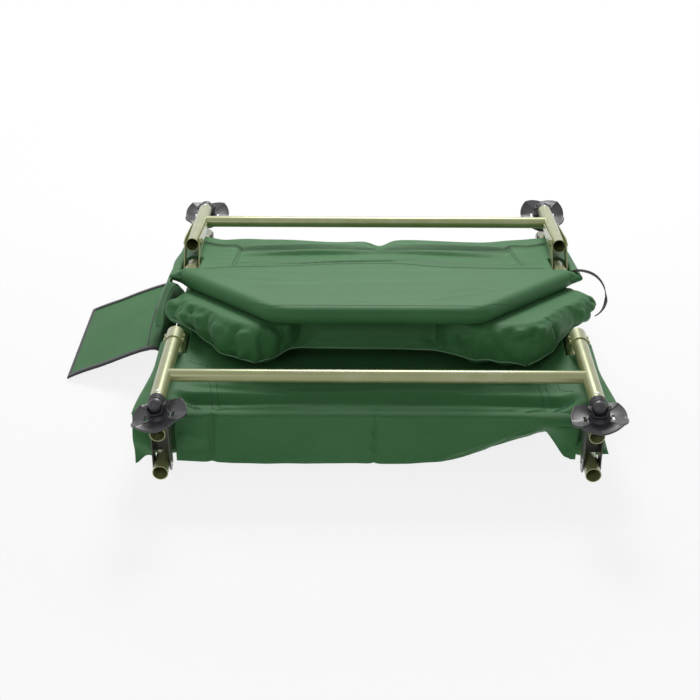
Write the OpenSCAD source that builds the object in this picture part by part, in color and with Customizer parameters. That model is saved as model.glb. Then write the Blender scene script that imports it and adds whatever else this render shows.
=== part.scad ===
/* [Frame] */
// Distance between the centre lines of the two side rails
rail_spacing = 760; // [600:5:900]
// Outside diameter of the rails and of the leg tubes
tube_d = 28; // [22:0.5:34]
// Wall thickness of every tube
tube_wall = 1.5; // [1:0.25:2.5]
// Distance between the hinge pins at the two ends of the middle section
middle_length = 800; // [700:5:950]
// Hinge pin to the centre line of the foot end bar, along the near section
near_length = 380; // [360:5:390]
// Hinge pin to the centre line of the head end bar, along the far section
far_length = 600; // [560:5:640]
// Hinge pin to the start of the head end's taper
taper_start = 325; // [320:5:360]
// Half the width of the head end bar between its corner points
head_bar_half = 188; // [150:2:230]
// Centre line radius of the tube bends
bend_radius = 60; // [45:5:80]

/* [Fold hinges] */
// Distance between the two pins of a channel hinge
hinge_pin_spacing = 79; // [78:0.5:88]
// How far a rail runs past its hinge pin
rail_past_pin = 36.5; // [30:0.5:37]
// Sheet thickness of the channels and leg brackets
plate_t = 2; // [1.5:0.25:3]
// Diameter of the pins that the frame folds and the legs swing on
pin_d = 8; // [6:0.5:10]
// Angle of the folded far section above the horizontal
far_tilt = 10.5; // [10:0.5:12]

/* [Legs] */
// Hinge pin to leg pin, along a section
leg_pin_from_hinge = 266; // [255:1:275]
// Leg pin of the middle legs, measured from the middle of the frame
middle_leg_pin_y = 110; // [90:5:140]
// Rail centre line to leg centre line at the bracket
leg_offset = 46; // [46:1:50]
// Leg pin to the open inner end of the leg tube
leg_start = 16.5; // [16:0.5:20]
// Inner end of a leg tube to the centre of its foot ball
leg_to_ball = 283; // [260:1:300]
// Inner end of a leg tube to the crossbar's centre line
leg_to_crossbar = 170; // [140:5:190]
// Diameter of the leg crossbars
crossbar_d = 24; // [18:0.5:26]
// Angle of the folded near legs, foot end away from the rail
near_leg_tilt = 1.8; // [1.6:0.2:3]
// Angle of the folded far legs, foot end away from the rail
far_leg_tilt = 3.8; // [3.8:0.2:5]

/* [Feet] */
// Diameter of a foot disc
foot_d = 104; // [90:2:106]
// Diameter of the ball that a foot swivels on
ball_d = 28; // [24:1:30]
// Ball centre to the sole
sole_drop = 27; // [26:0.5:32]
// Height of the pleats at the rim of a foot disc
pleat_height = 7; // [4:0.5:7.5]
// Wall of a foot disc
foot_wall = 3; // [2:0.25:4]
// Folded swivel of the near left foot, from square to its leg
near_left_swivel = 91; // [70:1:92]
// Folded swivel of the near right foot
near_right_swivel = 91; // [70:1:92]
// Folded swivel of the far left foot
far_left_swivel = 72; // [70:1:85]
// Folded swivel of the far right foot
far_right_swivel = 62; // [61:1:85]
// Turn of the near left plug and foot about the leg
near_left_roll = -12; // [-18:1:18]
// Turn of the near right plug and foot about the leg
near_right_roll = -5; // [-18:1:18]

/* [Fabric] */
// Thickness of the padding on the sleeping side, from the rail centre line
pad_rise = 26; // [20:1:30]
// Thickness of the fabric below the rail centre line
under_drop = 4; // [3:0.5:8]
// Height of the head end's taut cloth above the rail centre line, on the legs' side
pocket_rise = 13.5; // [12:0.25:15]
// Height of the loose folds across the far section's cloth, above that cloth
fold_rise = 9; // [5:0.5:10]
// Width of such a fold
fold_width = 44; // [30:1:50]
// Fabric around a tube
sleeve_t = 3; // [2:0.25:4]
// Room between a tube and the fabric around it
sleeve_room = 0.3; // [0.2:0.1:0.6]
// Slack of the sleeves beyond the rail centre line
slack_reach = 40; // [30:1:50]
// Hinge pin to the end of the fabric on a section
deck_from_hinge = 45; // [40:1:55]
// Length of the pillow from its front corners to its back edge
pillow_length = 318; // [280:2:330]
// How far the middle of the pillow's front edge is set back
pillow_setback = 62; // [40:2:80]
// Width of the side flap, from the frame to its free edge
flap_width = 214; // [180:2:230]
// Length of the side flap along the frame
flap_length = 310; // [260:5:340]
// Thickness of the flap's cloth
flap_t = 2.5; // [1.5:0.25:4]
// Width of the binding around the flap
binding_w = 9; // [6:0.5:14]
// Webbing width of the tie strap
strap_w = 20; // [15:1:30]

/* [Hidden] */
$fn = 96;

olive = [0.47, 0.47, 0.30];
dark_olive = [0.23, 0.24, 0.17];
green = [0.10, 0.33, 0.18];
black = [0.09, 0.09, 0.10];
steel = [0.72, 0.72, 0.70];

tube_r = tube_d / 2;
bore_r = tube_r - tube_wall;
rail_x = rail_spacing / 2;
pin_r = pin_d / 2;
pin_y = middle_length / 2;
pin_room = 0.05;           // running clearance between a pin and the tube or foot that turns on it
plate_gap = 0.2;           // side clearance between a tube and the plates that straddle it
ear_in = tube_r + plate_gap;
ear_out = ear_in + plate_t;
ear_r = pin_r + 11;        // round end of a hinge ear
head_r = pin_r + 3;        // pin head
head_t = 2.5;
butt_gap = 2;              // clearance between a channel's web and the rails that pass it
ball_r = ball_d / 2;
foot_r = foot_d / 2;
sleeve_r = tube_r + sleeve_room + sleeve_t;
slack_r = 5;               // rounded edge of the slack sleeve
slack_sag = 8;             // how far the slack hangs below the rail centre line
boss_r = pin_r + 8;        // round end of a leg bracket
rivet_r = 3;
leg_end_to_ball = 20;      // end of the leg tube to the ball centre
leg_length = leg_to_ball - leg_end_to_ball;
bracket_length = 40;       // how much of the leg tube a bracket holds
gusset_length = 150;       // reach of a gusset plate along the leg tube
fit_gap = 0.02;            // shaping gap where one tube is coped to another

// The middle legs lie flat under the frame: the rim of each tube's inner end and the sole of each
// foot touch the floor, which sets the legs' slope and the height of the rails above the floor.
middle_leg_slope = asin(sole_drop / norm([leg_to_ball, tube_r])) - atan2(tube_r, leg_to_ball);
rail_z = (leg_offset + tube_r) * cos(middle_leg_slope) - leg_start * sin(middle_leg_slope);
near_z = rail_z + hinge_pin_spacing;
// Swivel that sets a middle foot flat on the floor
middle_swivel = -90 - middle_leg_slope;

// The flap leans from the fabric's edge down to the floor.
flap_roll = flap_t / 2 + 1;   // half the thickness of the binding, and of the roll at the joining edge
flap_x = rail_x + slack_reach + flap_roll + 0.35;
flap_z = rail_z - slack_sag;
flap_slope = asin((flap_z - flap_roll - 0.2) / flap_width);

// Tubes of the two end frames, as points in the plane of their section
near_path = [
    [rail_x, -rail_past_pin], [rail_x, near_length],
    [-rail_x, near_length], [-rail_x, -rail_past_pin],
];
taper_turn = atan2(rail_x - head_bar_half, far_length - taper_start);
taper_lead = bend_radius * tan(taper_turn / 2);
far_path = [
    [rail_x, -rail_past_pin], [rail_x, taper_start + taper_lead], [head_bar_half, far_length],
    [-head_bar_half, far_length], [-rail_x, taper_start + taper_lead], [-rail_x, -rail_past_pin],
];

// The pillow reaches past the head end bar and hangs over the near section.
pillow_front = far_length + 20;
pillow_left_tip = [-rail_x - 36, taper_start + 51];
pillow_right_tip = [rail_x + 56, taper_start + 26];
pillow_corner_x = [-head_bar_half - 38, head_bar_half + 62];
pillow_recess_x = [-head_bar_half + 37, head_bar_half - 68];
pillow_back_x = rail_x - 28;
pillow_floor = near_z + sleeve_r + 1;

// Whole object's middle, so that the origin lies under the centre of its bounding box
left_reach = flap_x + flap_width * cos(flap_slope) + flap_roll * sin(flap_slope);
right_reach = rail_x + 80.9;   // the tie strap
feet_reach = pin_y - leg_pin_from_hinge + leg_start + leg_to_ball + foot_r;
near_reach = feet_reach - 1.3;
far_reach = feet_reach + 11.5;
middle_x = (right_reach - left_reach) / 2;
middle_y = (far_reach - near_reach) / 2;

// --- Places -------------------------------------------------------------------------------

module place_middle() translate([-middle_x, -middle_y, rail_z]) children();

// A section's own frame: the hinge pin's line is its X axis, +Y runs along the rails to the
// section's end, and +Z is the side that the legs are on.
module place_near_section() place_middle() translate([0, -pin_y, hinge_pin_spacing]) children();

module place_far_section()
    place_middle() mirror([0, 1, 0]) translate([0, -pin_y, hinge_pin_spacing])
        rotate([far_tilt, 0, 0]) children();

// A leg frame's own frame: the leg pin's line is its X axis and the legs run to -Y.
module place_near_legs()
    place_near_section() translate([0, leg_pin_from_hinge, 0]) rotate([-near_leg_tilt, 0, 0])
        children();

module place_far_legs()
    place_far_section() translate([0, leg_pin_from_hinge, 0]) rotate([-far_leg_tilt, 0, 0])
        children();

module place_middle_legs()
    place_middle() translate([0, -middle_leg_pin_y, 0]) rotate([180 + middle_leg_slope, 0, 0])
        children();

// A channel hinge's own frame: the middle section's pin is its X axis, the other pin is above.
module place_near_hinge() place_middle() translate([0, -pin_y, 0]) children();

module place_far_hinge() place_middle() mirror([0, 1, 0]) translate([0, -pin_y, 0]) children();

module place_flap()
    place_middle() translate([-flap_x, 0, -slack_sag]) rotate([0, -flap_slope, 0]) children();

// --- Shapes -------------------------------------------------------------------------------

function heading(a, b) = atan2(b.y - a.y, b.x - a.x);

function turn_at(path, i) =
    let (t = heading(path[i], path[i + 1]) - heading(path[i - 1], path[i])) t - 360 * round(t / 360);

// A round bar bent along a path in the XY plane, the same radius at every bend. The bends are a
// hair thicker than the straights, whose ends run a little way into them.
module bent_bar(path, bend, r) {
    last = len(path) - 1;
    cut = [for (i = [0 : last]) i == 0 || i == last ? 0 : bend * tan(abs(turn_at(path, i)) / 2)];
    for (i = [0 : last - 1]) {
        h = heading(path[i], path[i + 1]);
        lead = i == 0 ? 0 : bend_lap;
        tail = i == last - 1 ? 0 : bend_lap;
        start = path[i] + (cut[i] - lead) * [cos(h), sin(h)];
        translate([start.x, start.y, 0]) rotate([0, 90, h])
            cylinder(r = r, h = norm(path[i + 1] - path[i]) - cut[i] - cut[i + 1] + lead + tail);
    }
    for (i = [1 : last - 1]) {
        h = heading(path[i - 1], path[i]);
        t = turn_at(path, i);
        side = sign(t);
        centre = path[i] - cut[i] * [cos(h), sin(h)] + side * bend * [-sin(h), cos(h)];
        translate([centre.x, centre.y, 0]) rotate([0, 0, side > 0 ? h - 90 : h + 90 + t])
            rotate_extrude(angle = abs(t)) translate([bend, 0]) circle(r + bend_step);
    }
}

bend_lap = 2;
bend_step = 0.1;

// Plan of the area inside a bent path that turns left, drawn a distance inset within the path
function bent_plan(path, bend, inset) = [
    path[0] + inset * left_of(path, 0),
    for (i = [1 : len(path) - 2])
        let (h = heading(path[i - 1], path[i]), t = turn_at(path, i), cut = bend * tan(t / 2),
             centre = path[i] - cut * [cos(h), sin(h)] + bend * left_of(path, i - 1),
             steps = ceil(t / arc_step))
        for (j = [0 : steps - 1])
            let (a = h + t * (j + 0.5) / steps) centre + (bend - inset) * [sin(a), -cos(a)],
    path[len(path) - 1] + inset * left_of(path, len(path) - 2),
];
function left_of(path, i) = let (h = heading(path[i], path[i + 1])) [-sin(h), cos(h)];
arc_step = 9;   // degrees from corner to corner of a drawn arc

// Straight tube from the origin along +Z
module tube(length) {
    difference() {
        cylinder(r = tube_r, h = length);
        translate([0, 0, -1]) cylinder(r = bore_r, h = length + 2);
    }
}

// Pin hole through both walls of a tube, along X
module cross_hole(r) rotate([0, 90, 0]) cylinder(r = r, h = tube_d + 4, center = true);

// Direction from the centre of circle a, [x, y, r], to where the tangent to circle b touches it
function tangent_side(a, b) =
    heading(a, b) - acos((a[2] - b[2]) / norm([b.x - a.x, b.y - a.y]));

// Flat outline stretched tightly round circles listed anticlockwise
module round_outline(circles) {
    n = len(circles);
    polygon([
        for (i = [0 : n - 1])
            let (c = circles[i], from = tangent_side(circles[(i + n - 1) % n], c),
                 swing = (tangent_side(c, circles[(i + 1) % n]) - from + 720) % 360,
                 steps = max(1, ceil(swing / arc_step)))
            for (j = [0 : steps])
                let (a = from + swing * j / steps) [c.x, c.y] + c[2] * [cos(a), sin(a)]
    ]);
}

// Extrudes a YZ outline, given as XY, along X and centred on the YZ plane
module side_extrude(width)
    rotate([90, 0, 90]) linear_extrude(width, center = true) children();

// Shank and two domed heads along X, the shank as long as the span it clamps
module headed_pin(r, span, head) {
    rotate([0, 90, 0]) cylinder(r = r, h = span, center = true);
    for (s = [-1, 1])
        translate([s * span / 2, 0, 0]) rotate([0, s * 90, 0])
            rotate_extrude() intersection() {
                translate([0, head_t - head * 1.2]) circle(head * 1.2);
                square([head, head_t]);
            }
}

// --- Fold hinges --------------------------------------------------------------------------

// Side of a channel: an ear round each pin, and a straight back that carries the web
module hinge_side() {
    round_outline([[0, 0, ear_r], [0, hinge_pin_spacing, ear_r]]);
    translate([0, tube_r + butt_gap]) square([ear_out, hinge_pin_spacing - tube_d - 2 * butt_gap]);
}

module channel_hinge() {
    difference() {
        side_extrude(2 * ear_out) hinge_side();
        // hollow between the ears, behind the web
        translate([-ear_in, -ear_r - 1, -ear_r - 1])
            cube([2 * ear_in, ear_r + 1 + ear_in, hinge_pin_spacing + 2 * ear_r + 2]);
        for (z = [0, hinge_pin_spacing])
            translate([0, 0, z]) {
                // open in front of each rail
                translate([-ear_in, 0, -tube_r - butt_gap])
                    cube([2 * ear_in, 2 * ear_r, 2 * (tube_r + butt_gap)]);
                rotate([0, 90, 0]) cylinder(r = pin_r, h = 3 * ear_out, center = true);
            }
    }
}

module hinge_pins()
    for (x = [-rail_x, rail_x], z = [0, hinge_pin_spacing])
        translate([x, 0, z]) headed_pin(pin_r, 2 * ear_out, head_r);

// Cloth that hangs across the fold, close to the ends of the two decks
module fold_band()
    translate([0, deck_from_hinge - seam_gap - flap_t / 2, hinge_pin_spacing / 2])
        cube([2 * (rail_x - ear_out - 8), flap_t, hinge_pin_spacing + 10], center = true);

module near_hinge_left()
    color(dark_olive) place_near_hinge() translate([-rail_x, 0, 0]) channel_hinge();

module near_hinge_right()
    color(dark_olive) place_near_hinge() translate([rail_x, 0, 0]) channel_hinge();

module near_hinge_pins() color(steel) place_near_hinge() hinge_pins();

module near_fold_band() color(green) place_near_hinge() fold_band();

module far_hinge_left()
    color(dark_olive) place_far_hinge() translate([-rail_x, 0, 0]) channel_hinge();

module far_hinge_right()
    color(dark_olive) place_far_hinge() translate([rail_x, 0, 0]) channel_hinge();

module far_hinge_pins() color(steel) place_far_hinge() hinge_pins();

module far_fold_band() color(green) place_far_hinge() fold_band();

// --- Frames -------------------------------------------------------------------------------

module middle_rail()
    difference() {
        translate([0, -pin_y - rail_past_pin, 0]) rotate([-90, 0, 0])
            tube(middle_length + 2 * rail_past_pin);
        for (y = [-pin_y, -middle_leg_pin_y, pin_y])
            translate([0, y, 0]) cross_hole(pin_r + pin_room);
    }

module middle_rail_left() color(olive) place_middle() translate([-rail_x, 0, 0]) middle_rail();

module middle_rail_right() color(olive) place_middle() translate([rail_x, 0, 0]) middle_rail();

// Bent end frame of one tube, with the holes for the hinge pins and leg pins
module end_frame(path)
    difference() {
        bent_bar(path, bend_radius, tube_r);
        bent_bar(path, bend_radius, bore_r);
        for (x = [-rail_x, rail_x]) {
            translate([x, -rail_past_pin - 1, 0]) rotate([-90, 0, 0]) cylinder(r = bore_r, h = 3);
            for (y = [0, leg_pin_from_hinge])
                translate([x, y, 0]) cross_hole(pin_r + pin_room);
        }
    }

module near_frame() color(olive) place_near_section() end_frame(near_path);

module far_frame() color(olive) place_far_section() end_frame(far_path);

// --- Fabric and padding -------------------------------------------------------------------

// Loose sleeve round a straight rail, drawn as an XZ outline with its slack to the outside
module sleeve_outline(side, sag)
    scale([side, 1]) round_outline([
        [rail_x, 0, sleeve_r + 0.15],
        [rail_x + slack_reach - slack_r, -sag, slack_r],
    ]);

// Straight sleeve along Y from y0 to y1; sag is measured along -Z
module straight_sleeve(side, y0, y1, sag)
    translate([0, y1, 0]) rotate([90, 0, 0]) linear_extrude(y1 - y0) sleeve_outline(side, sag);

// Cut-out in a sleeve on the legs' side of a rail, where a leg bracket swings
module bracket_cut(side, y0, y1)
    translate([side > 0 ? rail_x - ear_out - 4 : -rail_x - slack_reach - 30, y0, -tube_r - 0.5])
        cube([ear_out + 4 + slack_reach + 30, y1 - y0, 2 * tube_r + 40]);

// Cut-out's ends, measured from the hinge pin of a section
bracket_room = 34;
cut_start = leg_pin_from_hinge - bracket_room;
cut_end = leg_pin_from_hinge + leg_offset + tube_r + 4;

// Part of a path's plan that lies past y
function path_past(path, y) = [for (p = path) p.y < 0 ? [p.x, y] : p];

end_step = 0.6;   // the padding ends a little inside its sleeves
seam_gap = 0.6;   // room between the decks and the band across the fold

module deck(path, sag) {
    outline = path_past(path, deck_from_hinge);
    difference() {
        union() {
            children();
            translate([0, 0, -pad_rise]) linear_extrude(pad_rise + under_drop)
                polygon(bent_plan(path_past(path, deck_from_hinge + end_step), bend_radius, tube_r / 4));
            bent_bar(outline, bend_radius, sleeve_r);
            for (s = [-1, 1])
                straight_sleeve(s, deck_from_hinge + 2 * end_step,
                    outline[1].y - bend_radius - 2 * bend_lap, sag);
        }
        bent_bar(path, bend_radius, tube_r + sleeve_room);
        for (s = [-1, 1])
            bracket_cut(s, cut_start, cut_end);
    }
}

module near_deck() color(green) place_near_section() deck(near_path, slack_sag);

// Taut cloth over the head end, which starts a little past the leg brackets' cut-outs
module head_pocket()
    translate([0, 0, under_drop - 1]) linear_extrude(pocket_rise - under_drop + 1)
        polygon(bent_plan(path_past(far_path, cut_end + 3), bend_radius, tube_r / 4 + 0.5));

// Loose fold right across the cloth at a distance from the hinge pin
module cloth_fold(y)
    translate([0, y, under_drop]) side_extrude(2 * (rail_x - slack_reach))
        polygon([
            [-fold_width / 2, -1], [-fold_width / 4, 0.8 * fold_rise], [0, fold_rise],
            [fold_width / 4, 0.8 * fold_rise], [fold_width / 2, -1],
        ]);

// Loose folds in the far section's cloth, measured from the hinge pin
fold_places = [150, 272];

module far_deck()
    color(green) place_far_section() deck(far_path, 0) {
        head_pocket();
        for (y = fold_places)
            cloth_fold(y);
    }

module middle_deck() {
    half = pin_y - deck_from_hinge;
    leg_cut = [-middle_leg_pin_y - leg_offset - tube_r - 4, -middle_leg_pin_y + bracket_room];
    color(green) place_middle() difference() {
        union() {
            translate([-rail_x, -half, -under_drop])
                cube([rail_spacing, 2 * half, pad_rise + under_drop]);
            for (s = [-1, 1])
                straight_sleeve(s, -half, half, slack_sag);
        }
        for (s = [-1, 1]) {
            translate([s * rail_x, -pin_y, 0]) rotate([-90, 0, 0])
                cylinder(r = tube_r + sleeve_room, h = middle_length);
            mirror([0, 0, 1]) bracket_cut(s, leg_cut[0], leg_cut[1]);
        }
    }
}

module pillow_plan()
    polygon([
        pillow_left_tip, [pillow_corner_x[0], pillow_front],
        [pillow_recess_x[0], pillow_front - pillow_setback],
        [pillow_recess_x[1], pillow_front - pillow_setback],
        [pillow_corner_x[1], pillow_front], pillow_right_tip,
        [pillow_back_x, pillow_front - pillow_length], [-pillow_back_x, pillow_front - pillow_length],
    ]);

// Wedge-shaped pillow: one face lies on the padding, the other is level while the cot is folded
module pillow()
    color(green) intersection() {
        place_far_section() translate([0, 0, -pad_rise - 0.3 - far_length / 5])
            linear_extrude(far_length / 5) pillow_plan();
        translate([-rail_spacing, -pin_y * 2, pillow_floor])
            cube([2 * rail_spacing, 4 * pin_y, far_length / 3]);
    }

// Webbing loop that ties the folded cot together, sewn to the head end's fabric
strap_route = [[13.8, -4], [34, 6], [54, 6], [72, -8], [80, -28], [74, -48], [61, -60]];
strap_from_hinge = taper_start + 25;

module tie_strap()
    color(black) place_far_section() translate([rail_x, strap_from_hinge + strap_w, 0]) rotate([90, 0, 0])
        linear_extrude(strap_w)
            for (i = [0 : len(strap_route) - 2])
                round_outline([
                    [strap_route[i].x, strap_route[i].y, 0.9],
                    [strap_route[i + 1].x, strap_route[i + 1].y, 0.9],
                ]);

// Flap's panel lies in the binding, which is a folded tape round three sides and the joining edge.
module side_flap()
    color(green) place_flap()
        translate([-flap_width + binding_w / 2, 0, -flap_t / 2])
            cube([flap_width - binding_w, flap_length - binding_w, flap_t]);

module flap_binding()
    color(black) place_flap() difference() {
        union() {
            translate([-flap_width, -binding_w / 2, -flap_roll])
                cube([flap_width, flap_length, 2 * flap_roll]);
            translate([0, -binding_w / 2, 0]) rotate([-90, 0, 0])
                cylinder(r = flap_roll, h = flap_length);
        }
        translate([-flap_width + binding_w, binding_w / 2, -flap_t])
            cube([flap_width - 2 * binding_w, flap_length - 2 * binding_w, 2 * flap_t]);
        translate([-flap_width + binding_w / 2, 0, -flap_t / 2])
            cube([flap_width - binding_w, flap_length - binding_w, flap_t]);
    }

// --- Leg frames ---------------------------------------------------------------------------

module leg_tube(side)
    translate([side * rail_x, -leg_start, leg_offset]) rotate([90, 0, 0])
        difference() {
            tube(leg_length);
            for (u = rivet_places())
                translate([0, 0, u]) cross_hole(rivet_r);
        }

// Rivets through a leg tube, measured from its inner end
function rivet_places() = [12, 30];

module leg_crossbar()
    translate([0, -leg_start - leg_to_crossbar, leg_offset]) difference() {
        rotate([0, 90, 0]) cylinder(d = crossbar_d, h = rail_spacing, center = true);
        rotate([0, 90, 0]) cylinder(d = crossbar_d - 2 * tube_wall, h = rail_spacing + 2, center = true);
        for (s = [-1, 1])
            translate([s * rail_x, 0, 0]) rotate([90, 0, 0])
                cylinder(r = tube_r + fit_gap, h = 2 * crossbar_d, center = true);
    }

// Round holes of a bracket: the leg pin, and the rivets that hold the leg tube
module bracket_holes() {
    rotate([0, 90, 0]) cylinder(r = pin_r, h = 3 * ear_out, center = true);
    for (u = rivet_places())
        translate([0, -leg_start - u, leg_offset]) rotate([0, 90, 0])
            cylinder(r = rivet_r, h = 3 * ear_out, center = true);
}

// Stamped saddle: a collar over the tube's inner end whose sides run down to the leg pin
module saddle_bracket()
    difference() {
        intersection() {
            rotate([90, 0, 0]) linear_extrude(4 * bracket_length, center = true) difference() {
                union() {
                    translate([0, leg_offset]) circle(ear_out);
                    translate([-ear_out, -boss_r]) square([2 * ear_out, leg_offset + boss_r]);
                }
                translate([0, leg_offset]) circle(ear_in);
                translate([-ear_in, -boss_r - 1]) square([2 * ear_in, leg_offset + boss_r + 1]);
            }
            side_extrude(3 * ear_out) {
                translate([-leg_start - bracket_length, leg_offset - 6])
                    square([bracket_length, tube_r + plate_t + 8]);
                round_outline([
                    [-leg_start - bracket_length + 6, leg_offset - 6, 6], [0, 0, boss_r],
                    [-leg_start - 4, leg_offset - 2, 4],
                ]);
            }
        }
        bracket_holes();
    }

// Pair of gusset plates along the leg tube, tapering down to the leg pin
module gusset_bracket()
    difference() {
        for (s = [-1, 1])
            translate([s * (ear_in + ear_out) / 2, 0, 0]) side_extrude(plate_t)
                union() {
                    round_outline([
                        [-leg_start - gusset_length + 5, leg_offset, 5],
                        [-leg_start - tube_r, sleeve_r + 17, 11],
                        [-leg_start - tube_r + 2, leg_offset + 2, tube_r - 3],
                    ]);
                    round_outline([
                        [-leg_start - tube_r, sleeve_r + 17, 11], [0, 0, boss_r],
                        [-leg_start - tube_r + 2, leg_offset + 2, tube_r - 3],
                    ]);
                }
        bracket_holes();
    }

module leg_pins()
    for (s = [-1, 1])
        translate([s * rail_x, 0, 0]) headed_pin(pin_r, 2 * ear_out, head_r);

// Rivets of the brackets, and the screw that holds each plug in its tube
module plug_screw()
    difference() {
        rotate_extrude() intersection() {
            translate([0, 1.8 - 5]) circle(5);
            translate([0, -1]) square([4, 3]);
        }
        translate([0, 0, -tube_r]) rotate([90, 0, 0]) cylinder(r = tube_r, h = 10, center = true);
    }

module leg_rivets()
    for (s = [-1, 1]) {
        for (u = rivet_places())
            translate([s * rail_x, -leg_start - u, leg_offset]) headed_pin(rivet_r, 2 * ear_out, 5);
        translate([s * rail_x, -leg_start - leg_length + 9, leg_offset + tube_r])
            plug_screw();
    }

// Foot plug in its own frame: the ball's centre is the origin and the tube comes from +Z.
module foot_plug() {
    translate([0, 0, leg_end_to_ball]) cylinder(r = bore_r - 0.1, h = 24);
    translate([0, 0, leg_end_to_ball - 5]) cylinder(r = tube_r, h = 5);
    cylinder(r = tube_r - 4, h = leg_end_to_ball);
    sphere(r = ball_r);
    rotate([0, 90, 0]) cylinder(r = trunnion_r, h = 2 * cheek_out, center = true);
}

trunnion_r = 4;
cheek_in = ball_r + 0.8;
cheek_out = cheek_in + 5;
foot_ridges = 4;           // pleats round a foot disc
rim_steps = 64;
ring_steps = 4;

// Height of the underside of a foot disc above its sole, at angle a and radius r
function pleat(a) = abs(((a + 45) * foot_ridges / 180) % 2 - 1);
function disc_height(a, r) =
    let (t = (r - cheek_out) / (foot_r - cheek_out))
    2 * (1 - t) + pleat_height * t * pow(1 - pleat(a), 1.3);

// Radius of the rim: the ridges reach a little further than the valleys
function rim_radius(a) = foot_r - 3 * pleat(a);

function disc_point(i, j, top) =
    let (a = 360 * i / rim_steps,
         r = cheek_out - 2 + (rim_radius(a) - cheek_out + 2) * j / ring_steps)
    [r * cos(a), r * sin(a), disc_height(a, r) + (top ? foot_wall : 0) - sole_drop];

function grid(i, j, top) =
    (i % rim_steps) * (ring_steps + 1) + j + (top ? rim_steps * (ring_steps + 1) : 0);

// Pleated disc: two height fields joined at the rim and at the hub
module pleated_disc()
    polyhedron(
        points = [
            for (top = [false, true], i = [0 : rim_steps - 1], j = [0 : ring_steps])
                disc_point(i, j, top)
        ],
        faces = [
            for (i = [0 : rim_steps - 1]) each [
                for (j = [0 : ring_steps - 1]) each [
                    [grid(i, j, true), grid(i + 1, j, true), grid(i + 1, j + 1, true)],
                    [grid(i, j, true), grid(i + 1, j + 1, true), grid(i, j + 1, true)],
                    [grid(i, j, false), grid(i + 1, j + 1, false), grid(i + 1, j, false)],
                    [grid(i, j, false), grid(i, j + 1, false), grid(i + 1, j + 1, false)],
                ],
                [grid(i, ring_steps, false), grid(i, ring_steps, true), grid(i + 1, ring_steps, true)],
                [grid(i, ring_steps, false), grid(i + 1, ring_steps, true),
                    grid(i + 1, ring_steps, false)],
                [grid(i, 0, false), grid(i + 1, 0, true), grid(i, 0, true)],
                [grid(i, 0, false), grid(i + 1, 0, false), grid(i + 1, 0, true)],
            ],
        ]
    );

// Foot in the frame of its plug, sole down: a pleated disc with a hub of two cheeks
module foot()
    difference() {
        union() {
            pleated_disc();
            translate([0, 0, -sole_drop]) cylinder(r = cheek_out, h = sole_drop - ball_r - 1);
            intersection() {
                difference() {
                    translate([0, 0, -ball_r - 6]) cylinder(r = cheek_out, h = ball_r + 13);
                    translate([0, 0, -ball_r - 1]) cylinder(r = cheek_in, h = 2 * sole_drop);
                }
                for (s = [-1, 1])
                    translate([s * (tube_r + 1 + cheek_out), 0, 0])
                        cube([2 * cheek_out, 2 * cheek_out + 2, 4 * sole_drop], center = true);
            }
        }
        rotate([0, 90, 0]) cylinder(r = trunnion_r + pin_room, h = 3 * cheek_out, center = true);
        for (s = [-1, 1])
            translate([s * (cheek_out + 5), 0, -sole_drop - 1]) foot_slot();
    }

// Slot through a foot disc beside each cheek
module foot_slot() {
    for (y = [-3.5, 3.5])
        translate([0, y, 0]) cylinder(r = 2.5, h = sole_drop);
    translate([-2.5, -3.5, 0]) cube([5, 7, sole_drop]);
}

// At the end of a leg: the plug turned about the leg by roll
module at_ball(side, roll)
    translate([side * rail_x, -leg_start - leg_to_ball, leg_offset]) rotate([0, roll, 0])
        rotate([-90, 0, 0]) children();

module leg_plug(side, roll) at_ball(side, roll) foot_plug();

module leg_foot(side, swivel, roll) at_ball(side, roll) rotate([swivel, 0, 0]) foot();

module near_leg_left() color(olive) place_near_legs() leg_tube(-1);
module near_leg_right() color(olive) place_near_legs() leg_tube(1);
module near_crossbar() color(olive) place_near_legs() leg_crossbar();
module near_bracket_left()
    color(olive) place_near_legs() translate([-rail_x, 0, 0]) saddle_bracket();
module near_bracket_right()
    color(olive) place_near_legs() translate([rail_x, 0, 0]) saddle_bracket();
module near_leg_pins() color(steel) place_near_legs() leg_pins();
module near_leg_rivets() color(steel) place_near_legs() leg_rivets();
module near_plug_left() color(black) place_near_legs() leg_plug(-1, near_left_roll);
module near_plug_right() color(black) place_near_legs() leg_plug(1, near_right_roll);
module near_foot_left()
    color(black) place_near_legs() leg_foot(-1, near_left_swivel, near_left_roll);
module near_foot_right()
    color(black) place_near_legs() leg_foot(1, near_right_swivel, near_right_roll);

module far_leg_left() color(olive) place_far_legs() leg_tube(-1);
module far_leg_right() color(olive) place_far_legs() leg_tube(1);
module far_crossbar() color(olive) place_far_legs() leg_crossbar();
module far_bracket_left() color(olive) place_far_legs() translate([-rail_x, 0, 0]) gusset_bracket();
module far_bracket_right() color(olive) place_far_legs() translate([rail_x, 0, 0]) gusset_bracket();
module far_leg_pins() color(steel) place_far_legs() leg_pins();
module far_leg_rivets() color(steel) place_far_legs() leg_rivets();
module far_plug_left() color(black) place_far_legs() leg_plug(-1, 0);
module far_plug_right() color(black) place_far_legs() leg_plug(1, 0);
module far_foot_left() color(black) place_far_legs() leg_foot(-1, far_left_swivel, 0);
module far_foot_right() color(black) place_far_legs() leg_foot(1, far_right_swivel, 0);

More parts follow.
